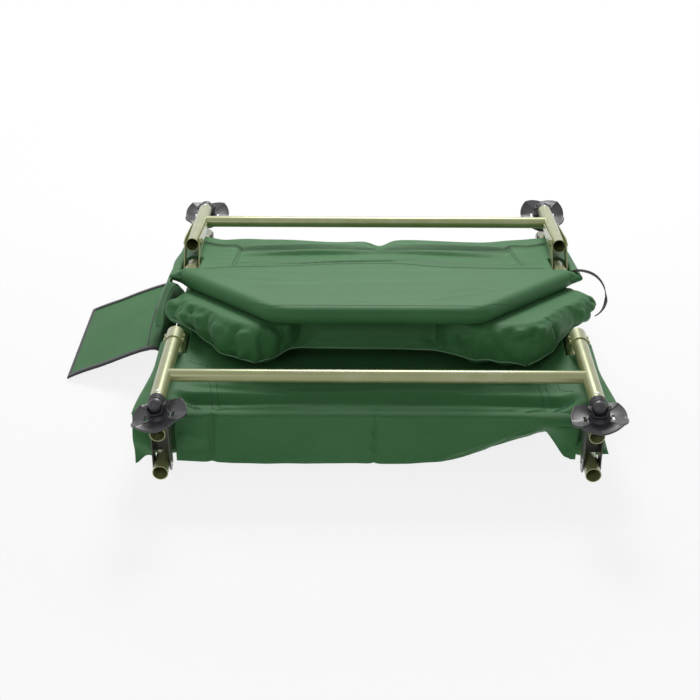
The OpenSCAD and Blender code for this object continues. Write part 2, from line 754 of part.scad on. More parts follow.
module middle_leg_left() color(olive) place_middle_legs() leg_tube(-1);
module middle_leg_right() color(olive) place_middle_legs() leg_tube(1);
module middle_crossbar() color(olive) place_middle_legs() leg_crossbar();
module middle_bracket_left()
    color(olive) place_middle_legs() translate([-rail_x, 0, 0]) gusset_bracket();
module middle_bracket_right()
    color(olive) place_middle_legs() translate([rail_x, 0, 0]) gusset_bracket();
module middle_leg_pins() color(steel) place_middle_legs() leg_pins();
module middle_leg_rivets() color(steel) place_middle_legs() leg_rivets();
module middle_plug_left() color(black) place_middle_legs() leg_plug(-1, 0);
module middle_plug_right() color(black) place_middle_legs() leg_plug(1, 0);
module middle_foot_left() color(black) place_middle_legs() leg_foot(-1, middle_swivel, 0);
module middle_foot_right() color(black) place_middle_legs() leg_foot(1, middle_swivel, 0);

middle_rail_left();
middle_rail_right();
middle_deck();
side_flap();
flap_binding();
near_hinge_left();
near_hinge_right();
near_hinge_pins();
near_fold_band();
far_hinge_left();
far_hinge_right();
far_hinge_pins();
far_fold_band();
near_frame();
near_deck();
far_frame();
far_deck();
pillow();
tie_strap();
near_leg_left();
near_leg_right();
near_crossbar();
near_bracket_left();
near_bracket_right();
near_leg_pins();
near_leg_rivets();
near_plug_left();
near_plug_right();
near_foot_left();
near_foot_right();
far_leg_left();
far_leg_right();
far_crossbar();
far_bracket_left();
far_bracket_right();
far_leg_pins();
far_leg_rivets();
far_plug_left();
far_plug_right();
far_foot_left();
far_foot_right();
middle_leg_left();
middle_leg_right();
middle_crossbar();
middle_bracket_left();
middle_bracket_right();
middle_leg_pins();
middle_leg_rivets();
middle_plug_left();
middle_plug_right();
middle_foot_left();
middle_foot_right();
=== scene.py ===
"""Looks of a folding cot that lies folded, underside up. All shapes are worked out in
millimetres in the cot's own sections and placed in the frame in metres."""
import math

import bmesh
import bpy
import numpy as np
from mathutils import Matrix, Vector, noise
from mathutils.bvhtree import BVHTree


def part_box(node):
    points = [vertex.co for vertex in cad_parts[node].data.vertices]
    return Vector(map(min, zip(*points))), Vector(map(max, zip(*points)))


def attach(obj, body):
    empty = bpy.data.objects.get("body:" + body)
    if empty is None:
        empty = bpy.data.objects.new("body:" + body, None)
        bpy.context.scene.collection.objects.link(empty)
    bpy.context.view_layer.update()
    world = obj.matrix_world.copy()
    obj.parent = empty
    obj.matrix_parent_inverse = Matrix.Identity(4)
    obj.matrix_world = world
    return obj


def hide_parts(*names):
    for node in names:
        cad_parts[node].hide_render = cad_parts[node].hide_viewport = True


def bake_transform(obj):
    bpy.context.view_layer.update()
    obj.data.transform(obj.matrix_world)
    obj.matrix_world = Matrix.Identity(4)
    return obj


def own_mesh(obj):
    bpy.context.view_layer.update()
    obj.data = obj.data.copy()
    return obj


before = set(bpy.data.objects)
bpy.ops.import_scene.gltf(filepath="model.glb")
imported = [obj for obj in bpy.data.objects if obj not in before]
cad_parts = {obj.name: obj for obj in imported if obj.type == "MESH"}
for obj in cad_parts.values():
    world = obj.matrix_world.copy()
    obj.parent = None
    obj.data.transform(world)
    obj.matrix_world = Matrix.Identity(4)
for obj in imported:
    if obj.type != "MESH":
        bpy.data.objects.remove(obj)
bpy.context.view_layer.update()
scene = bpy.context.scene

# --- Places ---------------------------------------------------------------------------------

MM = 0.001
RAIL_X = 380      # side rail's centre line from the middle of the cot
PIN_Y = 400       # fold pins from the middle of the cot
PIN_RISE = 79     # from a hinge's lower pin to its upper pin
TUBE_R = 14
SLEEVE_R = 17.3   # outside of the cloth round a tube
PIN_TO_LEG = 266
LEG_OFFSET = 46
LEG_END = 16.5    # leg pin to the open end of the leg tube
LEG_TO_BALL = 283
FAR_TILT = 10.5

left_rail, right_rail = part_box("middle_rail_left"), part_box("middle_rail_right")
middle = (left_rail[0] + right_rail[1]) / 2


def turn(axis, degrees):
    return Matrix.Rotation(math.radians(degrees), 4, axis)


def shift(x, y, z):
    return Matrix.Translation((x * MM, y * MM, z * MM))


# A section's own frame: X along its hinge pins, +Y along its rails away from the hinge,
# +Z to the side that its legs are on.
MIDDLE = Matrix.Translation(middle)
FLIP_Y = Matrix.Scale(-1, 4, (0, 1, 0))
FLIP_Z = Matrix.Scale(-1, 4, (0, 0, 1))
NEAR = MIDDLE @ shift(0, -PIN_Y, PIN_RISE)
FAR = MIDDLE @ FLIP_Y @ shift(0, -PIN_Y, PIN_RISE) @ turn("X", FAR_TILT)
NEAR_LEGS = NEAR @ shift(0, PIN_TO_LEG, 0) @ turn("X", -1.8)
FAR_LEGS = FAR @ shift(0, PIN_TO_LEG, 0) @ turn("X", -3.8)
MIDDLE_LEG_SLOPE = 2.6359
MIDDLE_LEG_Y = -110
MIDDLE_LEGS = MIDDLE @ shift(0, MIDDLE_LEG_Y, 0) @ turn("X", 180 + MIDDLE_LEG_SLOPE)


def at(place, point):
    """Where a point of a section, in mm, lies in the frame."""
    return place @ (Vector(point) * MM)


def at_ball(legs, side, roll, swivel=0):
    """Frame of a foot ball: the leg tube comes from +Z, and swivel turns the foot on the ball."""
    return (legs @ shift(side * RAIL_X, -LEG_END - LEG_TO_BALL, LEG_OFFSET) @ turn("Y", roll)
            @ turn("X", -90) @ turn("X", swivel))


# --- Materials ------------------------------------------------------------------------------


def srgb(hex_colour):
    """Linear colour of an sRGB hex value."""
    parts = [int(hex_colour[i:i + 2], 16) / 255 for i in (1, 3, 5)]
    return [c / 12.92 if c <= 0.04045 else ((c + 0.055) / 1.055) ** 2.4 for c in parts] + [1]


def add(tree, kind, inputs=(), **settings):
    """Adds a node with its settings; each input is a value or the output that feeds it."""
    node = tree.nodes.new(kind)
    for key, value in settings.items():
        setattr(node, key, value)
    for key, value in dict(inputs).items():
        if isinstance(value, bpy.types.NodeSocket):
            tree.links.new(value, node.inputs[key])
        else:
            node.inputs[key].default_value = value
    return node


def finish_of(name, roughness, metallic=0.0, **sockets):
    """A new material with its shader and object coordinates."""
    m = bpy.data.materials.new(name)
    m.use_nodes = True
    t = m.node_tree
    t.nodes.clear()
    shader = add(t, "ShaderNodeBsdfPrincipled", {
        "Roughness": roughness, "Metallic": metallic, "IOR": 1.5,
        **{k.replace("_", " "): v for k, v in sockets.items()}})
    out = add(t, "ShaderNodeOutputMaterial")
    t.links.new(shader.outputs["BSDF"], out.inputs["Surface"])
    return m, t, shader, add(t, "ShaderNodeTexCoord").outputs["Object"]


def maths(t, operation, *values):
    return add(t, "ShaderNodeMath", dict(enumerate(values)), operation=operation).outputs[0]


def grain(t, place, scale, detail, **more):
    return add(t, "ShaderNodeTexNoise", {"Vector": place, "Scale": scale, "Detail": detail,
                                         **more}).outputs["Fac"]


def tinted(t, shader, share, low, high):
    """Colours the shader from low to high as share goes from 0 to 1."""
    tone = add(t, "ShaderNodeMix", {"Factor": share, "A": srgb(low), "B": srgb(high)},
               data_type="RGBA")
    t.links.new(tone.outputs["Result"], shader.inputs["Base Color"])


def bumped(t, shader, height, depth, strength, **over):
    """Bumps depth mm deep on the shader; returns their normal, for finer bumps over them."""
    normal = add(t, "ShaderNodeBump", {"Height": height, "Distance": depth * MM,
                                       "Strength": strength, **over}).outputs["Normal"]
    t.links.new(normal, shader.inputs["Normal"])
    return normal


def woven(name, light, dark, pitch, roughness, sheen, rumple):
    """Plain weave of yarns a pitch apart, drawn as humps along all three axes so that it shows
    on cloth that lies or hangs in any direction; rumple is the depth of its small creases."""
    m, t, shader, place = finish_of(name, roughness, Sheen_Weight=sheen, Sheen_Roughness=0.4,
                                    Specular_IOR_Level=0.22)
    turns = 2 * math.pi / (pitch * MM)
    axes = add(t, "ShaderNodeSeparateXYZ", {"Vector": place}).outputs
    humps = [maths(t, "SINE", maths(t, "MULTIPLY", axes[k], turns)) for k in range(3)]
    yarns = maths(t, "ADD", maths(t, "ADD", humps[0], humps[1]), humps[2])
    fade = grain(t, place, 9.0, 3.0)
    tinted(t, shader, maths(t, "MULTIPLY_ADD", yarns, 0.05, fade), dark, light)
    soft = bumped(t, shader, grain(t, place, 38.0, 4.0, Distortion=0.6), rumple, 0.6)
    bumped(t, shader, yarns, 0.06, 0.5, Normal=soft)
    return m


def mottled(name, main, worn, roughness, patches, relief, metallic=0.0, **sockets):
    """Finish in two tones. patches gives the noise between them: scale, detail, roughness, and
    where it starts and ends; relief gives the bumps: scale, detail, depth in mm, strength."""
    m, t, shader, place = finish_of(name, roughness, metallic, **sockets)
    scale, detail, coarse, start, end = patches
    share = add(t, "ShaderNodeMapRange", {
        "Value": grain(t, place, scale, detail, Roughness=coarse), "From Min": start,
        "From Max": end}).outputs["Result"]
    tinted(t, shader, share, main, worn)
    scale, detail, depth, strength = relief
    bumped(t, shader, grain(t, place, scale, detail), depth, strength)
    return m


def painted(name, colour, worn, roughness, metallic):
    """Satin powder coat on steel tube: orange peel 1.6 mm across, slightly paler where rubbed."""
    return mottled(name, colour, worn, roughness, (22.0, 5.0, 0.5, 0.45, 0.75),
                   (1 / (1.6 * MM), 2.0, 0.05, 0.35), metallic, Coat_Weight=0.5,
                   Coat_Roughness=0.2)


def ribbed_tape(name, light, dark, rib):
    """Woven polypropylene tape: fine ribs along and across it, matt."""
    ribs = 1 / (rib * MM)
    return mottled(name, dark, light, 0.7, (ribs, 2.0, 0.5, 0, 1), (ribs, 2.0, 0.3, 0.6),
                   Sheen_Weight=0.3, Sheen_Roughness=0.5)


# 600 denier polyester, coated on its back: a dense plain weave with a soft, slightly oily sheen.
# Yarns lie 0.5 mm apart and are drawn 1.6 mm apart so that they show.
GREEN_CLOTH = woven("coated_polyester_green", "#4b8351", "#3f7345", 1.6, 0.55, 0.05, 1.1)
# Its cut edges are overlocked in a bluer green
EDGE_THREAD = woven("overlock_thread_green", "#3c7f6c", "#24594f", 0.8, 0.6, 0.1, 0.2)
SEAM_THREAD = woven("seam_thread_green", "#3d6b45", "#2b5234", 0.6, 0.6, 0.1, 0.1)
# Real piping along the pillow's lower seam, drawn much paler than the cloth: its pale tone is a
# painted highlight along the seam.
PIPING_PAINTED_HIGHLIGHT = woven("piping_green_painted_highlight", "#8db592", "#6c9a73", 0.8, 0.6, 0.1, 0.2)
BINDING_TAPE = ribbed_tape("binding_tape_black", "#34343a", "#121216", 0.9)
WEBBING = ribbed_tape("webbing_black", "#26242a", "#0c0b0f", 1.3)
OLIVE_STEEL = painted("powder_coated_steel_olive", "#a0a572", "#aeb285", 0.3, 0.3)
DARK_STEEL = painted("powder_coated_steel_dark_olive", "#2b2a26", "#45443c", 0.42, 0.0)
# Bright pins with the faint grain of turning
ZINC_STEEL = mottled("zinc_plated_steel", "#a9aaa8", "#d4d4cf", 0.32, (420.0, 3.0, 0.5, 0, 1),
                     (420.0, 3.0, 0.03, 0.3), metallic=1.0)
# A fine spark-eroded texture and paler scuffs
BLACK_NYLON = mottled("moulded_nylon_black", "#333237", "#4b4a50", 0.36,
                      (45.0, 6.0, 0.7, 0.5, 0.8), (900.0, 2.0, 0.08, 0.3))

# --- Building shapes ------------------------------------------------------------------------


def smooth_step(x, low, high):
    t = np.clip((np.asarray(x, float) - low) / (high - low), 0, 1)
    return t * t * (3 - 2 * t)


def window(x, low, full, falls, shut):
    """Rises from 0 to 1 between low and full, and falls again between the other two."""
    return smooth_step(x, low, full) * (1 - smooth_step(x, falls, shut))


def folds(u, v, lines):
    """Height of folds at (u, v). Each line is its start, its end, width, height and sharpness: a
    ridge, or a crease where its height is negative, that fades out at both ends."""
    h = np.zeros(np.broadcast(u, v).shape)
    for u0, v0, u1, v1, width, height, sharpness in lines:
        d = np.subtract((u1, v1), (u0, v0))
        length = np.hypot(*d)
        d = d / length
        along = ((u - u0) * d[0] + (v - v0) * d[1]) / length
        across = (v - v0) * d[0] - (u - u0) * d[1]
        fade = np.sqrt(np.clip(np.sin(np.pi * np.clip(along, 0, 1)), 0, 1))
        h += height * fade * np.exp(-np.abs(across / width) ** sharpness)
    return h


def rumple(u, v, size, seed, stretch=1.0):
    """Smooth random unevenness from -1 to 1, about size across and longer along u by stretch."""
    u, v = np.broadcast_arrays(u, v)
    flat = [noise.noise(Vector((a / size / stretch, b / size, seed * 7.3)))
            for a, b in zip(u.ravel(), v.ravel())]
    return np.array(flat).reshape(u.shape)


def mesh_object(name, verts, faces, place, finish, weld=0.0):
    """An object from points in mm: welded when weld is given, facing outwards, smooth, in the
    frame's metres.
    """
    bm = bmesh.new()
    made = [bm.verts.new(at(place, p)) for p in verts]
    for f in faces:
        bm.faces.new([made[i] for i in f])
    if weld:
        bmesh.ops.remove_doubles(bm, verts=bm.verts, dist=weld * MM)
        bmesh.ops.dissolve_degenerate(bm, dist=weld * MM / 10, edges=bm.edges)
    bmesh.ops.recalc_face_normals(bm, faces=bm.faces)
    for f in bm.faces:
        f.smooth = True
    mesh = bpy.data.meshes.new(name)
    bm.to_mesh(mesh)
    bm.free()
    mesh.materials.append(finish)
    obj = bpy.data.objects.new(name, mesh)
    scene.collection.objects.link(obj)
    return obj


def grid_faces(rows, columns, start=0, wrap=False):
    """Quads of a grid of points in rows; wrap joins its last column to its first."""
    last = columns if wrap else columns - 1
    return [(start + i * columns + j, start + i * columns + (j + 1) % columns,
             start + (i + 1) * columns + (j + 1) % columns, start + (i + 1) * columns + j)
            for i in range(rows - 1) for j in range(last)]


def shell(name, x, y, top, bottom, place, finish):
    """Closed shell between two heights over one grid, which meet along the grid's edge."""
    rows, columns = x.shape
    verts = [p for z in (top, bottom) for p in np.stack([x, y, z], -1).reshape(-1, 3)]
    faces = grid_faces(rows, columns) + grid_faces(rows, columns, rows * columns)
    return mesh_object(name, verts, faces, place, finish, weld=0.05)


def thicken(obj, thickness):
    m = obj.modifiers.new("thickness", "SOLIDIFY")
    m.thickness, m.offset = thickness * MM, 0.0
    return obj


def applied(obj):
    """The object with its modifiers applied."""
    done = bpy.data.meshes.new_from_object(obj.evaluated_get(
        bpy.context.evaluated_depsgraph_get()))
    obj.modifiers.clear()
    obj.data = done
    return obj


def lofted(name, rings, place, finish):
    """Closed solid through rings of as many points each."""
    verts = [tuple(p) for ring in rings for p in ring]
    n = len(rings[0])
    faces = grid_faces(len(rings), n, wrap=True)
    faces += [tuple(range(n)), tuple(range(len(verts) - n, len(verts)))]
    return mesh_object(name, verts, faces, place, finish)


def cloth_sheet(name, x, y, z, place, thickness):
    """Green cloth through a grid of points."""
    verts = np.stack([x, y, z], -1).reshape(-1, 3)
    return applied(thicken(mesh_object(name, verts, grid_faces(*x.shape), place, GREEN_CLOTH),
                           thickness))


def surface_of(obj):
    return BVHTree.FromPolygons([v.co for v in obj.data.vertices],
                                [f.vertices for f in obj.data.polygons])


def cut(obj, *cutters):
    """Takes the cutters away from obj."""
    for tool in cutters:
        m = obj.modifiers.new("cut", "BOOLEAN")
        m.object, m.operation, m.solver = tool, "DIFFERENCE", "EXACT"
    applied(obj)
    for tool in cutters:
        bpy.data.objects.remove(tool)


def block(low, high, place):
    """Plain box between two corners, used as a cutter."""
    x, y, z = zip(low, high)
    verts = [(a, b, c) for a in x for b in y for c in z]
    faces = [(0, 1, 3, 2), (4, 6, 7, 5), (0, 4, 5, 1), (2, 3, 7, 6), (0, 2, 6, 4), (1, 5, 7, 3)]
    return mesh_object("cutter", verts, faces, place, GREEN_CLOTH)


# --- Covers of the three sections -----------------------------------------------------------


def bent_path(corners, radius, steps=10):
    """Centre line of a bent tube as close points; corners is its path with sharp corners."""
    points = [np.array(corners[0], float)]
    for a, b, c in zip(corners, corners[1:], corners[2:]):
        a, b, c = (np.array(p, float) for p in (a, b, c))
        back, on = (a - b) / np.hypot(*(a - b)), (c - b) / np.hypot(*(c - b))
        half = math.acos(np.clip(back @ on, -1, 1)) / 2
        centre = b + (back + on) / np.hypot(*(back + on)) * radius / math.sin(half)
        start, end = b + back * radius / math.tan(half), b + on * radius / math.tan(half)
        for k in range(steps + 1):
            p = start + (end - start) * k / steps - centre
            points.append(centre + p / np.hypot(*p) * radius)
    return points + [np.array(corners[-1], float)]


def inside_distance(x, y, path):
    """Distance from the path, positive on its left, of each point."""
    best = np.full(x.shape, 1e9)
    side = np.ones(x.shape)
    for a, b in zip(path, path[1:]):
        d = b - a
        t = np.clip(((x - a[0]) * d[0] + (y - a[1]) * d[1]) / (d @ d), 0, 1)
        px, py = x - a[0] - t * d[0], y - a[1] - t * d[1]
        far = np.hypot(px, py)
        closer = far < best - 1e-9
        side = np.where(closer, np.where(d[0] * py - d[1] * px >= 0, 1, -1), side)
        best = np.where(closer, far, best)
    return best * side


# Columns of a cover's grid, from the edge of its sleeve inwards
EDGE_STEPS = [0, 0.8, 3, 6.5, 11, 17.3, 23, 29, 35, 41, 48, 56, 64, 72, 80, 90]
SLACK_REACH = 40   # from a tube's centre line to the edge of the slack cloth
SLACK_DROP = 8
END_ROUND = 10     # over which a cover's end closes


def closing(distance):
    """Share of a cover's thickness at a distance from its end."""
    return np.sqrt(np.clip(1 - (1 - np.clip(distance / END_ROUND, 0, 1)) ** 2, 0, 1))


def half_width(y, corners, radius):
    """Half the width of the cloth round a bent frame, without its slack."""
    outer = [p for p in bent_path(corners, radius, 24) if p[0] >= 0]
    grown = []
    for i, p in enumerate(outer):
        a, b = outer[max(i - 1, 0)], outer[min(i + 1, len(outer) - 1)]
        d = (b - a) / np.hypot(*(b - a))
        grown.append(p + SLEEVE_R * np.array([d[1], -d[0]]))
    xs, ys = np.array(grown).T
    keep = np.concatenate([[True], ys[1:] > np.maximum.accumulate(ys)[:-1] + 1e-6])
    return np.interp(y, ys[keep], xs[keep])


def section_cover(name, corners, radius, y_start, y_end, slack_end, leg_side, pad_side, place,
                  rounded_end=True, sag=-SLACK_DROP, shape=None):
    """Padded cover of one section. leg_side and pad_side give the heights of its two faces
    between the sleeves, from x, y and the distance inside the tube's centre line."""
    ends = [0, 0.6, 2.4, 5.5, 10, 17.3, 24, 31, 38]
    inner = np.linspace(y_start + END_ROUND, y_end - (45 if rounded_end else END_ROUND), 130)
    turned = [END_ROUND * (1 - math.cos(a)) for a in np.linspace(0, 1.45, 5)]
    far_end = [y_end - e for e in reversed(ends if rounded_end else turned)]
    ys = np.array([y_start + e for e in turned] + list(inner) + far_end)
    width = half_width(ys, corners, radius)
    slack = (1 - smooth_step(ys, slack_end - 16, slack_end)) * (SLACK_REACH - SLEEVE_R)
    half_columns = []
    for w, k in zip(width, slack):
        squeeze = min(1, w / 200)
        edge = [w - e * squeeze for e in EDGE_STEPS]
        outside = [w + k, w + 0.93 * k, w + 0.7 * k, w + 0.35 * k] if k > 0.01 else [w] * 4
        half_columns.append(outside + edge + list(np.linspace(edge[-1], 0, 38)[1:]))
    half = np.array(half_columns)
    x = np.concatenate([-half, half[:, -2::-1]], 1)
    y = np.repeat(ys[:, None], x.shape[1], 1)
    s = inside_distance(x, y, bent_path(corners, radius))
    w, k = width[:, None], slack[:, None]
    # round the tube
    ring = np.sqrt(np.clip(SLEEVE_R ** 2 - np.minimum(s, 0) ** 2, 0, None))
    top = np.where(s < 0, ring, SLEEVE_R - (SLEEVE_R - leg_side(x, y, s)) * smooth_step(s, 2, 52))
    low = np.where(s < 0, -ring, -SLEEVE_R + (pad_side(x, y, s) + SLEEVE_R) * smooth_step(s, 0, 60))
    # the slack beyond it: two layers that come together in a thick rounded edge
    reach = np.clip((np.abs(x) - (RAIL_X + 3)) / (SLEEVE_R - 3 + np.maximum(k, 0.01)), 0, 1)
    edge_round = np.sqrt(np.clip(1 - reach ** 8, 0, 1))
    thick = (SLEEVE_R * (1 - reach) ** 1.4 + 4.5 * reach ** 0.5) * edge_round
    loose = (k > 1) & (np.abs(x) > RAIL_X + 3)
    share = np.clip(k / (SLACK_REACH - SLEEVE_R), 0, 1)
    top = np.where(loose, top * (1 - share) + (sag * reach + thick) * share, top)
    low = np.where(loose, low * (1 - share) + (sag * reach - thick) * share, low)
    wave = rumple(x, y, 45, 3) * 2.2 * share * np.clip((np.abs(x) - RAIL_X) / 20, 0, 1)
    top, low = top + wave * edge_round, low + wave * edge_round
    # ends of the cloth close in a round edge
    full = closing(y - y_start)
    mean = (top + low) / 2
    if not rounded_end:
        full *= closing(y_end - y)
    top, low = mean + (top - mean) * full, mean + (low - mean) * full
    # both faces meet along the outline
    for z in (top, low):
        z[:, 0], z[:, -1], z[0], z[-1] = mean[:, 0], mean[:, -1], mean[0], mean[-1]
    if shape:
        x, y = shape(x, y)
    return shell(name, x, y, top, low, place, GREEN_CLOTH)


POCKET_EDGE = [(-345, 318), (-302, 304), (-217, 293), (-156, 280), (-94, 266), (0, 258), (60, 262),
               (132, 285), (254, 303), (345, 303)]


def along(points, x):
    """Height at x of a line through points."""
    xs, ys = zip(*points)
    return np.interp(x, xs, ys)


def far_leg_side(x, y, s):
    """Taut pocket over the head end; looser cloth with cross folds towards the hinges."""
    edge = along(POCKET_EDGE, x)
    pocket = smooth_step(y, edge - 1, edge + 4)
    taut = 15.5 - 2.5 * smooth_step(s, 40, 260) + rumple(x, y, 60, 1, 3) * 0.8
    taut += 2.0 * np.exp(-np.abs((y - edge - 5) / 5) ** 2)
    taut += folds(x, y, [
        (-330, 470, 250, 400, 16, 2.4, 1.6), (-250, 540, 330, 480, 20, -1.8, 1.6),
        (-120, 560, 180, 590, 9, 1.8, 1.5), (60, 575, 330, 430, 7, 1.8, 1.3),
        (-300, 350, 200, 330, 12, 1.6, 1.6), (-320, 400, -60, 430, 8, -1.8, 1.4),
        (150, 440, 345, 560, 6, 2.2, 1.2), (-205, 570, -192, 612, 3.5, -7, 1.3),
        (-184, 572, -150, 600, 7, 3, 1.5), (160, 585, 170, 612, 3, -8, 1.3),
        (180, 575, 190, 612, 3, -8, 1.3), (120, 590, 230, 590, 6, 2, 1.5),
    ])
    patch = smooth_step(np.abs(x + 4), 292, 296) * smooth_step(y, 96, 100)
    loose = 4 + patch * 8 + folds(x, y, [
        (-285, 165, 20, 132, 9, 9, 1.5), (-285, 178, 30, 147, 4, -6, 1.4),
        (-10, 128, 290, 170, 9, 8, 1.5), (0, 143, 285, 186, 4, -5, 1.4),
        (-290, 266, 140, 196, 10, 8, 1.4), (-220, 262, 150, 212, 4, -5, 1.4),
        (30, 225, 320, 262, 12, 7, 1.6), (-300, 228, -60, 205, 9, 5, 1.8),
        (-280, 96, -20, 82, 10, 6, 1.8), (20, 82, 290, 96, 10, 6, 1.8),
        (-8, 60, 20, 110, 7, -8, 1.4),
    ]) + rumple(x, y, 35, 2, 3) * 1.6
    rim = 1 - smooth_step(y, 46, 100)
    loose += rim * (5 - 13 * np.exp(-((x - 11) / 22) ** 2) + 3 * np.sin(x / 47)
                    + 4 * smooth_step(np.abs(x), 230, 300))
    return loose + (taut - loose) * pocket


NEAR_STEP = [(-400, 84), (-240, 86), (-120, 92), (0, 93), (140, 90), (250, 84), (400, 80)]


def near_leg_side(x, y, s):
    """Loose cloth: a long step down towards the hinge end, and a hollow under the pillow."""
    step = along(NEAR_STEP, x)
    front = -6 - 3 * smooth_step(y, 70, 46)
    h = front + (13 + 2 * np.sin(x / 70)) * smooth_step(y, step - 6, step + 15)
    h -= 4 * np.exp(-np.abs((y - step + 5) / 6) ** 2)
    hollow = window(x, -300, -150, 250, 330)
    h -= 20 * hollow * smooth_step(y, 135, 175) * (1 - smooth_step(y, 290, 330))
    return h + rumple(x, y, 40, 4, 3) * 1.8 + folds(x, y, [
        (-300, 132, 290, 126, 14, 4, 2), (-350, 120, -150, 104, 7, -4, 1.5),
        (150, 100, 340, 122, 7, -4, 1.5), (-290, 62, -120, 76, 8, 3, 1.6),
        (-20, 70, 260, 62, 9, 3, 1.6), (250, 44, 296, 66, 5, 6, 1.4),
        (296, 44, 350, 60, 6, 5, 1.4), (225, 44, 262, 72, 5, -4, 1.4),
        (-298, 44, -262, 70, 5, 4, 1.4), (-6, 42, 2, 74, 3, -5, 1.2),
    ])


def middle_leg_side(x, y, s):
    return 4 + rumple(x, y, 60, 5, 2) * 1.8 + folds(x, y, [
        (-300, -200, 300, -170, 22, 3, 2), (-300, 140, 300, 190, 24, 3, 2)])


PAD_DEPTH = 26


def channels(places):
    """Height of a padded face: crowned between the sleeves, with sewn channels across it at these
    distances along the section."""
    def height(x, y, s):
        base = -PAD_DEPTH * (0.62 + 0.38 * np.sin(np.clip(s / 90, 0, 1) * np.pi / 2))
        for place in places:
            base += 9.0 * np.exp(-np.abs((y - place) / 9.0) ** 1.3) * smooth_step(s, 10, 60)
        return base + rumple(x, y, 70, 6) * 1.5
    return height


NEAR_CORNERS = [(RAIL_X, -40), (RAIL_X, 380), (-RAIL_X, 380), (-RAIL_X, -40)]
TAPER_Y, HEAD_X, HEAD_Y = 325 + 60 * math.tan(math.radians(34.92) / 2), 188, 600
FAR_CORNERS = [(RAIL_X, -40), (RAIL_X, TAPER_Y), (HEAD_X, HEAD_Y), (-HEAD_X, HEAD_Y),
               (-RAIL_X, TAPER_Y), (-RAIL_X, -40)]
# The middle section is one straight sleeve each side; far end bars keep the sums the same.
MIDDLE_LOOP = [(RAIL_X, -1200), (RAIL_X, 1200), (-RAIL_X, 1200), (-RAIL_X, -1200)]


def wide_corners(x, y):
    """Near cover's slack runs out wider at its corners beside the hinges."""
    grow = 18 * smooth_step(np.abs(x), 392, 420) * (1 - smooth_step(y, 45, 230))
    return x + np.sign(x) * grow, y


def drawn_in(x, y):
    """Middle cover's hinge end is drawn in where its band is tucked up."""
    side = window(x, 120, 285, 325, 356)
    return x, y + 62 * side * (1 - smooth_step(y, -355, -190))


near_cover = section_cover("near_cover", NEAR_CORNERS, 60, 45, 380 + SLEEVE_R, 330, near_leg_side,
                           channels([150, 255]), NEAR, shape=wide_corners)
far_cover = section_cover("far_cover", FAR_CORNERS, 60, 45, 600 + SLEEVE_R, 352, far_leg_side,
                          channels([150, 255, 360, 465]), FAR, sag=0)
middle_cover = section_cover("middle_cover", MIDDLE_LOOP, 60, -355, 355, 2000, middle_leg_side,
                             channels([-266, -160, -54, 54, 160, 266]), MIDDLE @ FLIP_Z,
                             rounded_end=False, sag=SLACK_DROP, shape=drawn_in)

BRACKET_IN, BRACKET_OUT = 20.5, 19.5   # room for a bracket each side of its rail's centre line
OPEN_BEHIND, OPEN_AHEAD = 34, 64       # and from its leg's pin towards and away from the hinge


def leg_openings(place, y0, y1):
    """Cutters for the openings in a cover's sleeves where the leg brackets swing."""
    for side in (-1, 1):
        a, b = side * (RAIL_X - BRACKET_IN), side * (RAIL_X + BRACKET_OUT)
        yield block((min(a, b), y0, -TUBE_R - 0.5), (max(a, b), y1, 80), place)


for cover, place in ((near_cover, NEAR), (far_cover, FAR)):
    cut(cover, *leg_openings(place, PIN_TO_LEG - OPEN_BEHIND, PIN_TO_LEG + OPEN_AHEAD))
cut(middle_cover, *leg_openings(MIDDLE @ FLIP_Z, MIDDLE_LEG_Y - OPEN_AHEAD,
                                MIDDLE_LEG_Y + OPEN_BEHIND))

for cover, body, node in ((near_cover, "near_section", "near_deck"),
                          (far_cover, "far_section", "far_deck"),
                          (middle_cover, "middle_section", "middle_deck")):
    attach(cover, body)
    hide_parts(node)

# --- Pillow ---------------------------------------------------------------------------------

PILLOW_FLOOR = PIN_RISE + SLEEVE_R + 1


def on_far(x, y, z):
    """A point of the far section's frame in the middle section's, in mm."""
    return (MIDDLE.inverted() @ at(FAR, (x, y, z))) / MM


PAD_FACE = -25     # the far section's padded face, on which the pillow lies
PILLOW_PLAN = [(-352, 302), (-392, 335), (-410, 385), (-404, 440), (-386, 474), (-366, 497),
               (-340, 530), (-314, 570), (-285, 602), (-254, 622), (-230, 629), (-205, 612),
               (-188, 598), (-166, 580), (-140, 572), (-80, 573), (40, 576), (110, 579), (128, 586),
               (150, 600), (200, 618), (240, 629), (285, 625), (317, 607), (337, 578), (350, 548),
               (371, 515), (391, 484), (408, 460), (422, 440), (437, 410), (442, 376), (432, 345),
               (416, 322), (352, 302)]
PILLOW_LOBES = [(-395, 420, 60), (-250, 590, 45), (245, 590, 55), (405, 420, 60)]
RECESS = 34        # how far the pillow's front is drawn in above its lower seam


def pillow():
    """Squeezed pillow: its plan in the far section's frame, between that section and the near
    section's cloth, bulging out between its two seams."""
    rims = []
    plan = [np.array(p, float) for p in PILLOW_PLAN]
    centre = np.array([10.0, 430.0])
    dense = []
    for a, b in zip(plan, plan[1:] + plan[:1]):
        steps = max(1, int(np.hypot(*(b - a)) / 12))
        dense += [a + (b - a) * i / steps for i in range(steps)]
    for inset, lift in ((3, 0.0), (0, 0.04), (-2, 0.2), (-6, 0.5), (-2, 0.8), (4, 0.93), (16, 1.0)):
        ring = []
        for p in dense:
            toward = centre - p
            q = p + toward / np.hypot(*toward) * inset
            front = window(q[0], -166, -148, 116, 134)
            if q[1] > 500:
                q[1] -= RECESS * front * smooth_step(lift, 0.02, 0.3)
            top = on_far(q[0], q[1], PAD_FACE)
            floor = Vector((top.x, top.y, PILLOW_FLOOR))
            if top.z < floor.z + 10:
                top.z = floor.z + 10
            ring.append(floor.lerp(top, lift))
        rims.append(ring)
    return lofted("pillow_cover", rims, MIDDLE, GREEN_CLOTH)


